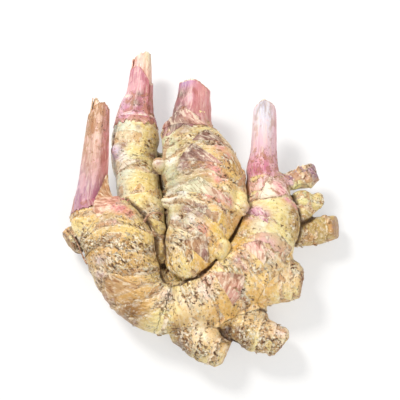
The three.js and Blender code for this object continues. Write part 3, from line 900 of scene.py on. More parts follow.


# %% [markdown]
# ## The skin
#
# Fresh ginger skin is cream to yellow and a little moist. Where it has aged it is a thin crinkled paper,
# worn away in patches with crisp edges: brown in its folds, nearly white on its ridges, partly its own
# colour and partly painted shade and highlight. Its strokes run with the rings. Rings show as broken brown
# lines, soil sits as specks in the papery parts, and painted shade darkens the crevices between limbs.

# %% Rhizome skin
def rhizome_skin():
    f = Finish("rhizome_skin")
    room, rings = f.object_place(), f.vector("ring_place")
    above_ring, below_ring = f.number("above_ring"), f.number("below_ring")
    cluster = f.cloud(room, 6, detail=3)
    mottle = f.cloud(room, 2.4, detail=5, rough=0.7)
    ragged = f.cloud(room, 1.5, detail=4, rough=0.7)

    # fresh flesh
    colour = f.mix(f.times(f.above(mottle, 0.5, 0.68), 0.36), f.colour("tint"), GOLD)
    colour = f.mix(f.times(f.below(mottle, 0.36, 0.48), 0.35), colour, WHITE)
    grain = f.cloud(rings, (2.8, 2.8, 1.1), detail=4, rough=0.65)
    colour = f.mix(f.times(f.above(grain, 0.53, 0.6), 0.3), colour, FLAKE)
    colour = f.mix(f.times(f.below(grain, 0.4, 0.46), 0.26), colour, TAN, "MULTIPLY")

    # the torn foot of an old leaf above each ring: fibrous, with a pale upper edge
    over_foot = f.plus(f.number("over_foot"), f.swing(ragged, 4.5 * MM))
    foot = f.below(over_foot, -0.25 * MM, 0.25 * MM)
    torn_edge = f.times(f.below(f.math("ABSOLUTE", f.minus(over_foot, 0.3 * MM)), 0.2 * MM, 0.5 * MM), 0.7)
    torn_edge = f.times(torn_edge, f.above(above_ring, 0.4 * MM, 1.4 * MM))
    fibre = f.cloud(rings, (1.8, 1.8, 4), detail=4, rough=0.6, warp=0.4)
    colour = f.mix(f.times(foot, 0.72), colour, f.colour("scale_tint"))
    colour = f.mix(f.times(foot, f.times(f.above(fibre, 0.54, 0.6), 0.5)), colour, FLAKE)
    colour = f.mix(f.times(torn_edge, f.above(mottle, 0.44, 0.52)), colour, FLAKE)

    # old skin: it turns tan, and its flakes and strokes crowd together
    age = f.plus(f.minus(f.number("worn"), 0.5), f.swing(cluster, 0.8))
    tanned = f.above(f.plus(age, f.swing(ragged, 0.9)), -0.12, 0.16)
    colour = f.mix(f.times(tanned, 0.4), colour, TAN)
    age = f.math("MINIMUM", f.plus(age, f.times(foot, 0.12)), 0.26)
    strokes = f.cloud(rings, (4.2, 4.2, 1.8), detail=4, rough=0.6, warp=0.5)
    pale = f.above(f.plus(strokes, f.times(age, 0.2)), 0.6, 0.64)
    brown = f.below(f.minus(strokes, f.times(age, 0.14)), 0.35, 0.39)
    bits = f.cloud(rings, (2.3, 2.3, 1.5), detail=4, rough=0.6, warp=0.4)
    dark = f.above(f.plus(bits, f.times(age, 0.2)), 0.615, 0.645)
    light = f.below(f.minus(bits, f.times(age, 0.28)), 0.37, 0.4)
    # pale on the raised strokes and brown in the sunk ones: partly the old skin's own flakes and marks,
    # partly painted highlight on its ridges and painted shade in its folds
    colour = f.mix(f.times(pale, 0.7), colour, FLAKE)
    colour = f.mix(f.times(brown, 0.6), colour, BARK)
    colour = f.mix(f.times(light, 0.84), colour, FLAKE)
    colour = f.mix(f.times(dark, 0.92), colour, DARK_BARK)
    crowd = f.plus(f.times(age, 0.08), f.swing(mottle, 0.2))
    pepper = f.above(f.plus(f.cloud(room, 1.7, detail=3, rough=0.6), crowd), 0.61, 0.64)
    colour = f.mix(f.times(pepper, 0.75), colour, srgb(142, 98, 58))

    # rings: a brown line in the groove, and a pale torn edge on the lip
    width = f.times(f.minus(ragged, 0.3), 2.6 * MM)
    line = f.below(f.minus(above_ring, width), -0.35 * MM, 0.2 * MM)
    line = f.times(line, f.number("ring_mark"))
    colour = f.mix(f.times(line, 0.95), colour, DARK_BARK)
    edge = f.times(f.below(below_ring, 0.3 * MM, 1.1 * MM), f.above(ragged, 0.47, 0.55))
    colour = f.mix(f.times(edge, 0.85), colour, FLAKE)

    # broken ends, and painted shade in the crevices
    crumb = f.cloud(room, 1.3, detail=5, rough=0.7)
    broken = f.times(f.number("end_face"), f.above(crumb, 0.36, 0.5))
    colour = f.mix(f.times(broken, 0.75), colour, f.mix(f.above(crumb, 0.5, 0.62), BARK, MURREY))
    # painted shade: the skin is darkened towards the bottom of every crevice between two limbs
    crevice_shade = f.above(f.plus(f.number("crevice_shade"), f.swing(ragged, 0.7)), 0.25, 0.95)
    colour = f.mix(f.times(crevice_shade, 0.85), colour, DARK_BARK, "MULTIPLY")

    # soil
    dirt = f.cloud(room, 1.1, detail=3, rough=0.6)
    speck = f.above(f.plus(dirt, f.swing(cluster, 0.25)), 0.67, 0.7)
    colour = f.mix(f.times(speck, 0.85), colour, SOIL)

    f.relief(f.minus(f.plus(pale, light), f.plus(brown, dark)), 0.2)
    f.relief(strokes, 0.9)
    f.relief(foot, 0.3)
    f.relief(mottle, 0.4, 0.5)
    f.relief(speck, 0.12, 0.8)
    f.moist()
    roughness = f.plus(f.times(tanned, 0.22), f.times(mottle, 0.3))
    return f.finish(colour, f.plus(roughness, 0.22))


coat(rhizome, rhizome_skin())

# %% [markdown]
# ## Arms and shoots as one line
#
# A shoot goes on where its arm ends, so the two share one axis. Everything thin is laid out on such an
# axis: a height above the arm's end, and an angle round it that is 0 degrees at the right side and 90 on
# top. Below the arm's end a sheet lies on the skin itself, which a ray from inside the arm finds.

# %% The shoots: x, y, z and radius in millimetres
SHOOTS = {
    "left_arm": [
        (-47.9, 3.2, 18.7, 7.7), (-47.5, 10, 19.4, 6.7), (-46.8, 20, 20.4, 6.3),
        (-46.2, 30, 21.4, 5.7), (-45.6, 40, 22.2, 5), (-44.8, 52.5, 23, 4.1),
    ],
    "tall_arm": [
        (-27.4, 50.8, 13.9, 7.8), (-26.4, 56, 14.4, 6.4), (-25.8, 63, 15.1, 5.7),
        (-25.4, 71, 15.9, 5.1), (-25.2, 79, 16.6, 4.3),
    ],
    "broad_arm": [
        (-0.2, 48.2, 20.2, 8.4), (0.2, 52.5, 20.7, 7.6), (0.6, 57, 21.2, 7.2), (1, 61.4, 21.7, 6.9),
    ],
    "right_arm": [
        (33.3, 16.8, 18, 7.4), (33.9, 25, 19.1, 6.1), (34.3, 35, 20.6, 5.6), (34.6, 45, 22.2, 5.1),
        (34.6, 51.8, 23.3, 4),
    ],
}


def spokes(axis, length, degrees):
    """Points on an axis at some lengths along it, and directions away from it at angles round it."""
    centre, side, over = [axis.at(length, values) for values in (axis.points, axis.side, axis.over)]
    turn = np.radians(degrees)[:, None]
    return centre, np.cos(turn) * side + np.sin(turn) * over


def skin_distance(axis, length, degrees, most=1.35):
    """How far the skin is from an axis on each spoke; most is the limit, in radii."""
    centre, outwards = spokes(axis, length, degrees)
    limit = axis.at(length, axis.radii) * most
    found = np.empty(len(length))
    for i, (start, heading, furthest) in enumerate(zip(centre, outwards, limit)):
        hit, place, _, _ = rhizome.ray_cast(Vector(start), Vector(heading), distance=furthest)
        found[i] = (place - Vector(start)).length if hit else furthest
    return found


SKIN_ENDS = 1.0 * MM  # above an arm's end its sheaths follow the shoot alone
SKIN_RULES = -5.5 * MM  # below this they follow the skin alone, and between the two they blend
HIGHEST_RAY = -3.0 * MM  # rays go no higher than this, so that they still meet the skin


class Stalk:
    """An arm and its shoot: where a height above the arm's end and an angle round it lie."""

    def __init__(self, arm):
        self.axis = Axis(LIMBS[arm] + SHOOTS[arm])
        joint = (len(LIMBS[arm]) - 1) / (len(LIMBS[arm]) + len(SHOOTS[arm]) - 1)
        self.foot = np.interp(joint, self.axis.shares, self.axis.lengths)
        self.tall = self.axis.length - self.foot

    def at(self, height, degrees, lift, shape):
        """Places over the skin below the arm's end, and over the shoot's own round form above it."""
        centre, outwards = spokes(self.axis, self.foot + height, degrees)
        radius = self.axis.at(self.foot + height, self.axis.radii) * shape
        low = height < SKIN_ENDS
        inside = self.foot + np.minimum(height[low], HIGHEST_RAY)
        skin_radius = skin_distance(self.axis, inside, degrees[low])
        share = ease(SKIN_RULES, SKIN_ENDS, height[low])
        radius[low] = skin_radius * (1 - share) + radius[low] * share
        return centre + outwards * (radius + lift)[:, None]


STALKS = {arm: Stalk(arm) for arm in SHOOTS}
print("shoots in mm", {arm: round(stalk.tall / MM, 1) for arm, stalk in STALKS.items()})


# %% A flat grid to shape into a leaf
SHARP_FOLD = math.radians(50)  # faces that meet at more than this are shaded with a hard edge


def grid(name, columns, rows):
    """A grid whose points are known by their share across and their share up, from 0 to 1."""
    deselect()
    bpy.ops.mesh.primitive_grid_add(x_subdivisions=columns, y_subdivisions=rows, size=1.0)
    piece = bpy.context.object
    piece.name = name
    flat = points_of(piece.data)
    return piece, flat[:, 0] + 0.5, flat[:, 1] + 0.5


def thicken(piece, thickness, offset=-1.0):
    """
    Give a sheet its thickness and smooth it. The faces of a roll look inwards, so its thickness is added
    outwards, behind them. An offset of 0 adds half on each side.
    """
    apply_modifier(piece, "SOLIDIFY", thickness=thickness, offset=offset)
    make_active(piece)
    bpy.ops.object.mode_set(mode="EDIT")
    bpy.ops.mesh.select_all(action="SELECT")
    bpy.ops.mesh.normals_make_consistent(inside=False)
    bpy.ops.object.mode_set(mode="OBJECT")
    bpy.ops.object.shade_smooth_by_angle(angle=SHARP_FOLD)


def around(profile, degrees):
    """A value that goes round with the angle, from (angle, value) pairs."""
    angles = [a for a, _ in profile]
    values = [v for _, v in profile]
    return np.interp(degrees % 360, angles, values, period=360)


def daub(degrees, share, base, dabs):
    """A base tint with dabs over it: colour, strength, then angle, share of the height, and their reaches."""
    layers = []
    for colour, strength, angle, height, wide, tall in dabs:
        sideways, upwards = turned_from(degrees, angle) / wide, (share - height) / tall
        layers.append((colour, strength * np.exp(-(sideways**2) - upwards**2)))
    return cover(len(degrees), base, layers)


# %% [markdown]
# ## Rolled sheaths
#
# A ginger shoot is a false stem. It has no wood: leaf sheaths are rolled one round another, each a sheet
# that overlaps itself down one side. So every sheath here is a grid wound into a roll a little more than
# one turn long, and the heart inside it is one grid wound further in, as a scroll is.

# %% A roll
SHEET = 0.5 * MM  # a sheath's thickness
EDGE_RISE = 0.35 * MM  # how far a sheet's outer edge stands proud of the roll
EDGE_WIDTH = 9  # degrees over which that edge falls back to the roll


def roll(
    name, arm, opening, turns, inset, pitch, foot, top, columns, rows, corners=(), ragged=0.5, close=0.0
):
    """
    A sheet wound round a shoot: it starts at an opening angle and winds inwards by a pitch for each turn.
    Foot and top are its heights in millimetres by angle, corners are angles with a push and a width, and
    close draws its top together.
    """
    stalk = STALKS[arm]
    piece, wound, up = grid(name, columns, rows)
    degrees = opening + 360 * turns * wound
    inwards = pitch * MM * turns * wound
    round_place = np.column_stack([np.cos(np.radians(degrees)), np.sin(np.radians(degrees)), wound * 3])
    fray = waves(round_place, 0.22, len(name), 2) * ragged * MM
    crest = around(top, degrees) * MM + fray
    base = around(foot, degrees) * MM + waves(round_place, 0.2, 5.0, 3) * 2.2 * MM
    height = base + (crest - base) * up
    shape = np.ones(len(degrees))
    for at, push, wide in corners:
        shape += push * np.exp(-((turned_from(degrees, at) / wide) ** 2))
    share = np.minimum(height / stalk.tall, 1)
    shape = shape * (1 - close * ease(0.82, 1.02, share))
    flutes = waves(np.column_stack([round_place[:, :2] * 2.4, share * 1.2]), 1.0, 6.0) * 0.3 * MM
    ribs = waves(np.column_stack([round_place[:, :2] * 14, share * 2]), 1.0, 7.0) * 0.09 * MM
    to_crest = crest - height
    curl = 0.35 * MM * np.exp(-to_crest / (1.2 * MM)) * waves(round_place, 0.6, 8.0)
    lift = 0.25 * MM - inset * MM - inwards + flutes + ribs + curl
    lift += EDGE_RISE * np.exp(-wound * turns * 360 / EDGE_WIDTH)
    move_points(piece.data, stalk.at(height, degrees, lift, shape))
    place = np.column_stack([np.radians(degrees) * 6 * MM, height, wound * turns * 9 * MM])
    store(piece, "sheath_place", place)
    store(piece, "to_crest", to_crest)
    return piece, degrees, share


# %% [markdown]
# ## What the shoots look like
#
# A young sheath is moist and full of fibres that run up the shoot. It is rosy where it left the soil, paler
# above, and brown along its cut. Painting every fibre would take long, and one noise stretched along the
# sheet makes them all. So the four shoots share two finishes, and only their broad tints differ.

# %% What a sheath looks like
def sheath_skin(name, specks, stripes):
    """Moist striped leaf: pale and rosy fibres along it, soil specks, and a browned cut edge."""
    f = Finish(name)
    place, soil = f.vector("sheath_place"), f.minus(f.number("soil"), 0.5)
    tint = f.colour("tint")
    streak = f.cloud(place, (1.2, 14, 4), detail=4, rough=0.65, warp=0.3)
    fine = f.cloud(place, (0.5, 7, 4), detail=2)
    blotch = f.cloud(place, (3.5, 5, 4), detail=4, rough=0.65)
    patches = f.cloud(place, (3, 7, 4), detail=4, rough=0.6, warp=0.4)
    tint = f.mix(f.times(f.above(patches, 0.52, 0.62), 0.5), tint, STEM_TAN, "MULTIPLY")
    tint = f.mix(f.times(f.below(patches, 0.38, 0.46), 0.4), tint, BLUSH)
    colour = f.mix(f.times(f.above(streak, 0.5, 0.62), stripes), tint, FLAKE)
    colour = f.mix(f.times(f.below(streak, 0.38, 0.48), stripes), colour, ROSE, "MULTIPLY")
    colour = f.mix(f.times(f.above(fine, 0.55, 0.68), 0.2), colour, FLAKE)
    dry = f.cloud(place, (1.9, 3.4, 4), detail=4, rough=0.65, warp=0.5)
    dirty = f.plus(dry, f.plus(f.swing(blotch, 0.5), f.times(soil, 0.3)))
    speck = f.above(dirty, 0.61, 0.66)
    colour = f.mix(f.times(speck, specks), colour, BARK)
    dark = f.cloud(place, (0.8, 1.1, 4), detail=2)
    spot = f.above(f.plus(dark, f.times(soil, 0.14)), 0.7, 0.73)
    colour = f.mix(f.times(spot, 0.8), colour, SOIL)
    edge = f.below(f.plus(f.number("to_crest"), f.swing(dry, 2.5 * MM)), 0.15 * MM, 0.8 * MM)
    colour = f.mix(f.times(edge, 0.75), colour, f.mix(f.above(blotch, 0.45, 0.6), BARK, FLAKE))
    f.relief(streak, 0.5, 0.6)
    f.relief(fine, 0.25, 0.6)
    f.relief(speck, 0.12)
    f.moist(0.12)
    return f.finish(colour, f.plus(f.times(blotch, 0.25), f.plus(f.times(speck, 0.3), 0.28)))


def place_sheath(piece, node, material, tint, soil):
    """Tint a rolled sheet, thicken it outwards, and let it stand for its node."""
    store(piece, "tint", tint)
    store(piece, "soil", np.clip(np.broadcast_to(soil, len(tint)), 0, 1))
    thicken(piece, SHEET)
    coat(piece, material)
    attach(piece, "root")
    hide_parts(node)
    print(piece.name, len(piece.data.polygons), "faces")


ROSE = srgb(198, 120, 132)
STEM_TAN = srgb(206, 170, 138)
BLUSH = srgb(240, 196, 196)
SHEATH = sheath_skin("shoot_sheath", specks=0.5, stripes=0.18)
HEART = sheath_skin("shoot_heart", specks=0.35, stripes=0.15)
HEART_CREAM = srgb(250, 240, 204)
PEARL = srgb(228, 224, 232)
ASH = srgb(196, 198, 212)

# %% The left shoot: cut slantwise, tan and speckled above, lilac and rose at its foot
piece, degrees, share = roll(
    "left_sheath", "left_arm", opening=22, turns=1.12, inset=0.1, pitch=0.6,
    foot=[(0, -6), (60, -5), (110, -3), (160, -2), (190, -3), (270, -5)],
    top=[(0, 44), (60, 48.5), (95, 47.5), (130, 44.5), (180, 41), (230, 41.5), (300, 43)],
    columns=132, rows=74, corners=[(75, 0.04, 22), (200, 0.03, 30)],
)
tint = daub(degrees, share, srgb(192, 144, 132), [
    (srgb(160, 114, 132), 1.0, 120, 0.05, 200, 0.18), (srgb(176, 140, 164), 0.9, 165, 0.14, 42, 0.26),
    (MAGENTA, 0.6, 60, 0.0, 60, 0.1), (srgb(212, 132, 136), 0.85, 30, 0.4, 30, 0.6),
    (srgb(188, 150, 116), 1.0, 150, 0.72, 52, 0.36), (srgb(160, 120, 86), 0.8, 165, 0.85, 40, 0.22),
    (srgb(228, 190, 170), 0.9, 84, 0.62, 13, 0.3), (srgb(204, 158, 112), 0.7, 100, 0.9, 40, 0.14),
])
soil = 0.3 + 0.7 * ease(0.25, 0.8, share) + 0.5 * (1 - ease(0.0, 0.12, share))
place_sheath(piece, "left_shoot_sheath", SHEATH, tint, soil)

piece, degrees, share = roll(
    "left_heart", "left_arm", opening=150, turns=2.3, inset=1.0, pitch=0.85, foot=[(0, 4)],
    top=[(0, 42), (90, 48.5), (140, 51.4), (190, 50), (250, 44)], columns=170, rows=40, ragged=0.8,
)
tint = daub(degrees, share, srgb(226, 190, 156), [
    (BARK, 0.6, 150, 0.97, 60, 0.06), (FLAKE, 0.7, 110, 0.95, 30, 0.05),
])
place_sheath(piece, "left_shoot_heart", HEART, tint, soil=0.7)

# %% The tall shoot: a rosy outer leaf with an arched edge over a paler one that ends cream
piece, degrees, share = roll(
    "tall_sheath", "tall_arm", opening=52, turns=1.1, inset=0.0, pitch=0.6, foot=[(0, -8), (120, -7)],
    top=[(0, 15), (40, 14), (62, 17), (84, 20.5), (112, 22.5), (140, 22), (170, 19.5), (220, 15), (300, 15)],
    columns=132, rows=52, corners=[(150, 0.04, 24)],
)
tint = daub(degrees, share, ROSE, [
    (srgb(202, 166, 196), 1.0, 155, -0.02, 55, 0.24), (srgb(206, 138, 164), 0.8, 110, -0.04, 60, 0.16),
    (srgb(236, 198, 178), 0.9, 70, -0.25, 70, 0.07),
    (srgb(180, 104, 124), 0.95, 110, 0.6, 50, 0.3), (srgb(216, 160, 160), 0.8, 95, 0.42, 12, 0.2),
    (srgb(212, 136, 128), 0.8, 30, 0.2, 34, 0.4), (srgb(124, 90, 74), 0.9, 84, 0.24, 16, 0.06),
    (srgb(136, 100, 84), 0.9, 96, 0.08, 30, 0.06), (FLAKE, 0.8, 134, 0.18, 20, 0.03),
])
soil = 0.35 + 0.65 * (1 - ease(0.15, 0.4, share))
place_sheath(piece, "tall_shoot_sheath", SHEATH, tint, soil)

piece, degrees, share = roll(
    "tall_heart", "tall_arm", opening=170, turns=2.4, inset=0.75, pitch=0.8, foot=[(0, 2)],
    top=[(0, 29.4), (50, 30.5), (90, 29.6), (130, 28.4), (170, 27.6), (230, 28), (300, 29)],
    columns=180, rows=50, ragged=0.9, corners=[(64, -0.05, 7)],
)
tint = daub(degrees, share, srgb(236, 176, 168), [
    (HEART_CREAM, 1.0, 45, 0.95, 40, 0.32), (srgb(240, 200, 176), 0.9, 45, 0.55, 30, 0.2),
    (srgb(244, 206, 190), 0.9, 120, 0.92, 40, 0.14), (BARK, 0.7, 168, 0.9, 20, 0.14),
])
place_sheath(piece, "tall_shoot_heart", HEART, tint, soil=0.4)

# %% The broad shoot: short and angular, with a keel between its lilac side and its rosy one
piece, degrees, share = roll(
    "broad_sheath", "broad_arm", opening=250, turns=1.12, inset=0.2, pitch=0.6,
    foot=[(0, -11), (60, -9.5), (140, -13)],
    top=[(0, 10.8), (45, 12), (84, 14.6), (98, 14.8), (130, 14), (165, 13.8), (220, 12), (300, 11)],
    columns=140, rows=58, ragged=0.35,
    corners=[(96, 0.06, 16), (8, 0.06, 20), (172, 0.06, 20), (50, -0.04, 20), (132, -0.03, 16)],
)
tint = daub(degrees, share, ROSE, [
    (srgb(228, 154, 152), 1.0, 40, 0.6, 60, 0.6), (srgb(206, 120, 134), 0.8, 8, 0.7, 16, 0.6),
    (srgb(172, 134, 188), 1.0, 132, 0.9, 36, 0.3), (srgb(178, 86, 138), 0.9, 172, 0.9, 14, 0.3),
    (srgb(124, 100, 90), 1.0, 140, 0.48, 38, 0.19), (srgb(124, 92, 92), 1.0, 140, -0.1, 46, 0.4),
    (srgb(214, 170, 180), 0.8, 100, 0.3, 14, 0.14), (srgb(206, 136, 130), 0.9, 55, -0.1, 36, 0.4),
    (srgb(122, 96, 84), 1.0, 125, -0.6, 60, 0.36), (BUFF, 0.8, 20, -0.6, 30, 0.3),
])
soil = 0.2 + 0.7 * np.exp(-(((degrees - 145) / 40) ** 2)) * (1 - ease(0.5, 0.75, share))
place_sheath(piece, "broad_shoot_sheath", SHEATH, tint, soil)

piece, degrees, share = roll(
    "broad_heart", "broad_arm", opening=30, turns=3.2, inset=1.3, pitch=1.2, foot=[(0, 1)],
    top=[(0, 11.2), (90, 13.2), (180, 13.0), (270, 11.4)], columns=200, rows=30, ragged=0.6,
)
tint = daub(degrees, share, srgb(244, 208, 200), [(LILAC, 0.6, 180, 0.8, 60, 0.5)])
place_sheath(piece, "broad_shoot_heart", HEART, tint, soil=0.3)

# %% The right shoot: pearly white and pointed, rosy and speckled at its foot
piece, degrees, share = roll(
    "right_sheath", "right_arm", opening=300, turns=1.14, inset=0.1, pitch=0.6, foot=[(0, -8)],
    top=[(0, 33.4), (40, 34.8), (95, 36.6), (140, 34.6), (180, 32.6), (270, 33)],
    columns=132, rows=66, corners=[(90, 0.03, 20)], ragged=0.4, close=0.34,
)
tint = daub(degrees, share, srgb(230, 204, 208), [
    (PEARL, 1.0, 100, 0.85, 90, 0.36), (ASH, 0.8, 112, 0.9, 26, 0.2),
    (srgb(232, 166, 180), 0.95, 20, 0.6, 26, 0.5),
    (srgb(212, 142, 156), 0.95, 90, 0.1, 160, 0.22), (srgb(200, 98, 136), 0.6, 100, 0.04, 60, 0.1),
    (srgb(236, 190, 176), 0.9, 90, -0.18, 90, 0.1), (GOLD, 0.6, 165, -0.16, 24, 0.1),
    (srgb(222, 178, 190), 0.8, 110, 0.38, 40, 0.14), (srgb(206, 168, 190), 0.7, 160, 0.3, 30, 0.2),
])
soil = 0.15 + 0.75 * (1 - ease(0.2, 0.5, share))
place_sheath(piece, "right_shoot_sheath", SHEATH, tint, soil)

piece, degrees, share = roll(
    "right_heart", "right_arm", opening=200, turns=2.2, inset=1.0, pitch=0.8, foot=[(0, 3)],
    top=[(0, 35.2), (90, 37.4), (180, 35.6), (270, 34.4)], columns=170, rows=48, ragged=0.3, close=0.55,
)
tint = daub(degrees, share, PEARL, [(ASH, 0.6, 120, 0.9, 50, 0.2)])
place_sheath(piece, "right_shoot_heart", HEART, tint, soil=0.1)

# %% [markdown]
# ## Scale leaves
#
# Each ring once carried a papery scale leaf that wrapped the joint above it. Young ginger still has some
# of them, and on the rest only a torn fringe is left. A leaf could be cut from the skin's own mesh, but
# then it could not lift off. So it is a grid laid on the skin: its foot is sunk in the ring, its edges are
# ragged, and its tip stands a little off the skin.

# %% The scale leaves
# limb, start and end as shares of its stations, midrib and half width in degrees, and slope
SCALE_LEAVES = {
    "broad_crown": ("broad_arm", 0.8, 0.985, 110, 64, 0.0),
    "broad_shoulder": ("broad_arm", 0.645, 0.74, 60, 34, 0.3),
    "broad_middle": ("broad_arm", 0.53, 0.63, 92, 32, 0.34),
    "broad_lower": ("broad_arm", 0.37, 0.45, 98, 46, 0.2),
    "broad_heel": ("broad_arm", 0.135, 0.21, 78, 33, 0.2),
    "right_crown": ("right_arm", 0.79, 0.95, 78, 42, 0.0),
    "right_purple": ("right_arm", 0.6, 0.7, 118, 28, 0.3),
    "right_pink": ("right_arm", 0.44, 0.51, 92, 28, 0.1),
    "right_heel": ("right_arm", 0.28, 0.365, 78, 38, 0.0),
    "left_fold": ("left_arm", 0.28, 0.38, 122, 38, 0.3),
    "tall_crown": ("tall_arm", 0.88, 0.96, 90, 66, 0.0),
    "tall_ring": ("tall_arm", 0.47, 0.515, 112, 40, -0.3),
}
LEAF_COLUMNS, LEAF_ROWS = 56, 30
LEAF_TAPER = 0.94  # how much of its width a leaf loses on the way to its tip
LEAF_SHEET = 0.14 * MM  # a dried leaf's thickness


def leaf(name, arm, start, end, midrib, half_width, slope):
    """A ragged leaf laid on the skin; gives its angles and its share up at every point."""
    axis = AXES[arm]
    piece, across, up = grid(name, LEAF_COLUMNS, LEAF_ROWS)
    across = across * 2 - 1
    radius = axis.at((start + end) / 2, axis.radii, axis.shares)
    seed = len(name) + midrib
    side_place = np.column_stack([up * 3.2, np.sign(across) * 5, np.zeros(len(up))])
    torn_side = 1 + 0.16 * waves(side_place, 0.6, seed, 3) * ease(0.3, 1.0, np.abs(across))
    width = half_width * (1 - LEAF_TAPER * up**1.25) * torn_side
    degrees = midrib - across * width
    torn_tip = 1 - 0.3 * ease(-0.3, 0.5, waves(np.column_stack([across * 4, up * 0, up * 0]), 0.8, seed, 3))
    level = start + (end - start) * up * torn_tip
    length = axis.at(level, axis.lengths, axis.shares)
    length = length - slope * axis.at(length, axis.radii) * np.cos(np.radians(degrees))
    centre, outwards = spokes(axis, length, degrees)
    skin_radius = skin_distance(axis, length, degrees)
    to_side = (1 - np.abs(across)) * np.radians(width) * radius
    to_tip = (1 - up) * torn_tip * np.ptp(length)
    to_edge = np.minimum(to_side, to_tip)
    off_skin = waves(np.column_stack([degrees / 14, level * 30, up * 0]), 1.0, seed) * 0.5 + 0.5
    free = ease(0.05, 1.0, up)
    lift = (-0.2 + 0.5 * ease(0, 0.14, up) + 0.3 * free) * MM
    lift += 0.5 * MM * off_skin * np.exp(-to_edge / (1.6 * MM)) * free
    lift += 0.5 * MM * (end > 0.9)  # the topmost leaf of an arm lies over the shoot's foot
    move_points(piece.data, centre + outwards * (skin_radius + lift)[:, None])
    store(piece, "leaf_place", np.column_stack([np.radians(degrees) * radius, length, up * 0]))
    store(piece, "to_edge", to_edge)
    return piece, degrees, up


# %% [markdown]
# ## What a scale leaf looks like
#
# A dried leaf is brown paper: fibres run slantwise along it, its torn edge is pale with brown in places, and
# soil sticks to it. All the leaves, the bract and the fringes are the same stuff, so they share one finish.

# %% What a scale leaf looks like
def leaf_skin():
    """Dry papery leaf: fibres along it, a pale torn edge with a brown line, and soil specks."""
    f = Finish("scale_leaf")
    place = f.vector("leaf_place")
    blotch = f.cloud(place, (3.4, 4, 4), detail=4, rough=0.65)
    fibre = f.cloud(place, (1.5, 5, 4), detail=4, rough=0.6, warp=0.4, turn=-40)
    flecks = f.cloud(place, (2, 2.4, 4), detail=4, rough=0.65, warp=0.4, turn=-40)
    colour = f.mix(f.times(f.above(blotch, 0.52, 0.62), 0.25), f.colour("tint"), FLAKE)
    colour = f.mix(f.times(f.above(fibre, 0.54, 0.6), 0.5), colour, FLAKE)
    colour = f.mix(f.times(f.below(fibre, 0.41, 0.47), 0.6), colour, BARK, "MULTIPLY")
    colour = f.mix(f.times(f.above(flecks, 0.58, 0.64), 0.5), colour, BARK)
    colour = f.mix(f.times(f.below(flecks, 0.34, 0.4), 0.5), colour, FLAKE)
    wander = f.swing(flecks, 2.4 * MM)
    rim = f.below(f.plus(f.number("to_edge"), wander), 0.2 * MM, 0.7 * MM)
    colour = f.mix(f.times(rim, 0.5), colour, f.mix(f.above(blotch, 0.46, 0.56), DARK_BARK, FLAKE))
    colour = f.mix(f.times(f.above(flecks, 0.68, 0.71), 0.8), colour, SOIL)
    f.relief(blotch, 0.5)
    f.relief(fibre, 0.3)
    f.relief(flecks, 0.12)
    return f.finish(colour, f.plus(f.times(blotch, 0.3), 0.42))


LEAF = leaf_skin()

# %% The scale leaves' tints, daubed in the way that the sheaths' are
LEAF_TINTS = {
    "broad_crown": (srgb(208, 152, 142), [
        (srgb(134, 108, 102), 0.95, 134, 0.4, 30, 0.7), (srgb(156, 122, 104), 0.8, 104, 0.05, 34, 0.26),
        (srgb(232, 186, 166), 0.6, 62, 0.3, 16, 0.5),
    ]),
    "broad_shoulder": (srgb(156, 120, 106), [(BUFF, 0.7, 30, 0.3, 14, 0.6)]),
    "broad_middle": (srgb(146, 114, 102), [(srgb(222, 160, 146), 0.8, 62, 0.25, 22, 0.5)]),
    "broad_lower": (srgb(216, 212, 176), [(srgb(226, 164, 150), 0.9, 66, 0.4, 20, 0.6)]),
    "broad_heel": (srgb(190, 148, 108), [(srgb(158, 118, 118), 0.8, 60, 0.4, 16, 0.6)]),
    "right_crown": (srgb(244, 226, 206), [
        (srgb(238, 164, 172), 1.0, 62, 0.5, 18, 0.8), (FLAKE, 0.8, 92, 0.3, 10, 0.6),
    ]),
    "right_purple": (srgb(220, 168, 182), [(srgb(176, 124, 142), 0.8, 124, 0.2, 16, 0.4)]),
    "right_pink": (srgb(238, 206, 180), [(srgb(222, 164, 154), 0.9, 96, 0.7, 20, 0.5)]),
    "right_heel": (srgb(206, 160, 132), [(srgb(216, 150, 138), 0.7, 62, 0.4, 16, 0.6)]),
    "left_fold": (srgb(206, 164, 112), [(BARK, 0.4, 140, 0.5, 14, 0.5)]),
    "tall_crown": (srgb(232, 172, 184), [(LILAC, 0.9, 132, 0.6, 34, 0.6), (FLAKE, 0.7, 66, 0.1, 30, 0.3)]),
    "tall_ring": (srgb(240, 230, 208), [(TAN, 0.5, 90, 0.9, 40, 0.3)]),
}


def place_leaf(piece, node, tint, thickness=LEAF_SHEET):
    """Tint and thicken a leaf; the fringes are extra and stand for no node."""
    store(piece, "tint", tint)
    thicken(piece, thickness, offset=0.0)
    coat(piece, LEAF)
    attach(piece, "root")
    if node:
        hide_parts(node)
    print(piece.name, len(piece.data.polygons), "faces")


for name, (arm, *span) in SCALE_LEAVES.items():
    piece, degrees, up = leaf("leaf_" + name, arm, *span)
    base, dabs = LEAF_TINTS[name]
    place_leaf(piece, "scale_leaf_" + name, daub(degrees, up, base, dabs))

# %% [markdown]
# ## The bract
#
# On the left arm's shoulder one scale leaf is left whole: a pointed flap, tan above and rosy at its foot,
# that wraps the shoulder and stands up beside the shoot. There is no skin under its upper part for a ray
# to find, so it has a line of its own, and it goes over from the skin to a hood round that line.

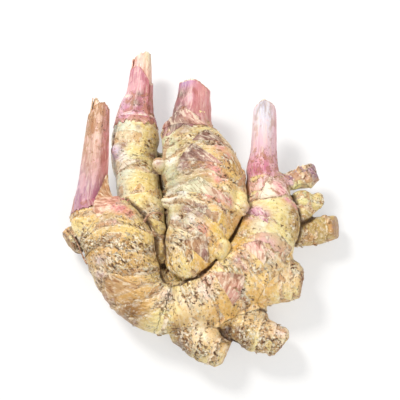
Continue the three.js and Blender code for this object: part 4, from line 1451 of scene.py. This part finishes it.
# %% The bract, along its own line: x, y, z and radius in millimetres
BRACT_SHEET = 0.3 * MM
BRACT_FOOT, BRACT_REACH = 0.06, 0.85  # where it starts and how far it goes, in shares of its stations
LEAVES_SKIN = 0.26  # the share at which the line leaves the skin
WIDEST_SHOULDER = 19 * MM  # the most that a ray may find there
RAY_REACH = 1.6  # in radii; a ray that finds nothing gives just this
BRACT_SLACK = 2.5 * MM  # how far the bract may follow the skin out beyond its hood
BRACT_LINE = Axis([
    (-41, -10.5, 17, 17.2), (-45.6, -5, 17.4, 14.8), (-48, 0.6, 18.2, 10.6), (-47.7, 8, 19.2, 8.4),
    (-47, 17, 20.2, 8),
])
piece, across, up = grid("bract", 48, 54)
across = across * 2 - 1
torn = waves(np.column_stack([up * 9, np.sign(across), up * 0]), 1.0, 3.0, 2)
width = np.where(across > 0, 3 + 60 * (1 - up) ** 1.1, 3 + 40 * (1 - up**2)) * (1 + 0.07 * torn)
degrees = 56 - 20 * up - across * width
length = BRACT_LINE.at(BRACT_FOOT + BRACT_REACH * up, BRACT_LINE.lengths, BRACT_LINE.shares)
centre, outwards = spokes(BRACT_LINE, length, degrees)
form = BRACT_LINE.at(length, BRACT_LINE.radii)
leaves_skin = np.full(len(up), BRACT_LINE.at(LEAVES_SKIN, BRACT_LINE.lengths, BRACT_LINE.shares))
shoulder = np.minimum(skin_distance(BRACT_LINE, leaves_skin, degrees, 1.3), WIDEST_SHOULDER)
hood = shoulder + (form - shoulder) * ease(0.1, 0.85, up)
on_skin = skin_distance(BRACT_LINE, length, degrees, RAY_REACH)
on_skin = np.where(on_skin > (RAY_REACH - 0.01) * form, hood, on_skin)
radius = np.clip(on_skin, hood, hood + BRACT_SLACK) + 0.3 * MM
radius = on_skin + (radius - on_skin) * ease(0.08, 0.2, up)
radius += 0.5 * MM * across**2 * np.sin(math.pi * up) + (0.6 * ease(0, 0.1, up) - 0.3) * MM
move_points(piece.data, centre + outwards * radius[:, None])
to_side = (1 - np.abs(across)) * np.radians(width) * form
store(piece, "leaf_place", np.column_stack([np.radians(degrees) * 12 * MM, length, up * 0]))
store(piece, "to_edge", to_side)
tint = daub(degrees, up, srgb(216, 164, 120), [
    (srgb(216, 148, 136), 1.0, 34, 0.16, 50, 0.34), (srgb(200, 108, 138), 0.85, 18, 0.16, 16, 0.14),
    (srgb(224, 178, 158), 0.7, 80, 0.3, 16, 0.3), (BARK, 0.3, 60, 0.7, 14, 0.4),
])
place_leaf(piece, "left_bract", tint, BRACT_SHEET)

# %% [markdown]
# ## Torn fringes
#
# Where a scale leaf is gone, its foot is left as a ragged fringe along the ring. Each ring gets a narrow
# strip that follows it round the limb. The strip is torn to teeth and taken away where nothing is left.

# %% A fringe along every ring
FRINGE_STEPS, FRINGE_ROWS = 110, 3
FRINGE_TURN = 356  # degrees: a fringe stops just short of its own start
FRINGE_HEIGHT = 2.6 * MM
FRINGE_FOOT = 0.5 * MM  # how far below its ring a fringe starts
FRINGE_SHEET = 0.1 * MM
SHORTEST_TOOTH = 0.35 * MM
STRAW = srgb(222, 190, 146)


def fringe(name, ring, seed):
    """The torn foot of a scale leaf along one ring of a limb."""
    axis = AXES[name]
    piece, share, up = grid("fringe", FRINGE_STEPS, FRINGE_ROWS)
    degrees = share * FRINGE_TURN
    length = np.full(len(share), ring * MM)
    for _ in range(3):  # the ring's shift depends on the place, so it is found in a few rounds
        centre, outwards = spokes(axis, length, degrees)
        radius = skin_distance(axis, length, degrees, 1.3)
        on_skin = centre + outwards * radius[:, None]
        across = radius * np.cos(np.radians(degrees))
        angle = np.radians(turned_from(degrees, 0))
        length = ring * MM - ring_shift(name, on_skin, length, across, angle)
    round_limb = np.column_stack([np.radians(degrees) * axis.radii.mean(), up * 0, up * 0])
    left = ease(-0.05, 0.4, waves(round_limb, 7 * MM, seed, 2))
    teeth = 0.55 + 0.45 * waves(round_limb, 1.1 * MM, seed + 1, 2)
    tall = left * teeth * FRINGE_HEIGHT
    length = length - FRINGE_FOOT + up * (tall + FRINGE_FOOT)
    inside = np.clip(length, 0.2 * MM, axis.length - 0.2 * MM)
    centre, outwards = spokes(axis, inside, degrees)
    radius = skin_distance(axis, inside, degrees, 1.25)
    lift = -0.3 * MM + up * (0.95 + 0.5 * waves(round_limb, 2.5 * MM, seed + 2)) * MM
    places = centre + outwards * (radius + lift)[:, None]
    hidden = radius > 1.2 * axis.at(inside, axis.radii)
    gone = (tall < SHORTEST_TOOTH) | hidden | (places[:, 2] < 1 * MM)
    gone |= (length < 1 * MM) | (length > axis.length)
    move_points(piece.data, places)
    store(piece, "leaf_place", np.column_stack([round_limb[:, 0], length, np.full(len(up), seed * MM)]))
    store(piece, "to_edge", (1 - up) * tall)
    bpy.ops.object.mode_set(mode="EDIT")
    bpy.ops.mesh.select_mode(type="VERT")
    bpy.ops.mesh.select_all(action="DESELECT")
    bpy.ops.object.mode_set(mode="OBJECT")
    piece.data.vertices.foreach_set("select", gone)
    bpy.ops.object.mode_set(mode="EDIT")
    bpy.ops.mesh.delete(type="VERT")
    bpy.ops.object.mode_set(mode="OBJECT")
    return piece


strips = []
for k, (name, rings) in enumerate(RINGS.items()):
    for i, ring in enumerate(rings):
        strips.append(fringe(name, ring, 13.0 * k + i))
fringes = join_pieces(strips, "papery_fringes")
place_leaf(fringes, None, cover(len(fringes.data.vertices), STRAW), FRINGE_SHEET)

# %% [markdown]
# ## Wiry roots
#
# Two dried roots cling to the old parts. On a real one they are thin, tapered and a little wavy. Each is
# the same kind of sweep as an arm, through points that clear the skin, with a fine noise added to its
# line and to its radius.

# %% Wiry roots: points in millimetres, and the radius at the thick end
def root_skin():
    f = Finish("wiry_root")
    grain = f.cloud(f.object_place(), (1.2, 1.2, 1.2), detail=4, rough=0.65)
    colour = f.mix(f.above(grain, 0.45, 0.65), srgb(132, 92, 68), srgb(216, 176, 140))
    f.relief(grain, 0.2)
    return f.finish(colour, 0.6)


ROOT = root_skin()
WIRY_ROOTS = {
    "root_inner": ([(-22.5, -11.5, 28.2), (-20, -8, 28.8), (-16.5, -7, 28.8), (-13.6, -8.2, 28.3)], 0.66),
    "root_curl": ([
        (-48.6, -30.5, 25), (-51.4, -25.5, 25.2), (-54, -19.5, 23.6), (-57, -14.6, 21.6), (-60, -12.4, 19),
    ], 0.42),
}
for name, (stations, thick) in WIRY_ROOTS.items():
    line = Axis([(*station, thick) for station in stations], step=0.4 * MM)
    share = line.lengths / line.length
    radii = line.radii * (1 - 0.6 * share) * (1 + 0.18 * waves(line.points, 1.3 * MM, 21.0))
    wavy = np.column_stack([waves(line.points, 2.6 * MM, 22.0 + k) for k in range(3)]) * 0.35 * MM
    piece = sweep("wiry_" + name, line.points + wavy, radii, bevel=3)
    bpy.ops.object.shade_smooth()
    coat(piece, ROOT)
    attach(piece, "root")
    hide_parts(name)
    print(piece.name, round(line.length / MM, 1), "mm long")
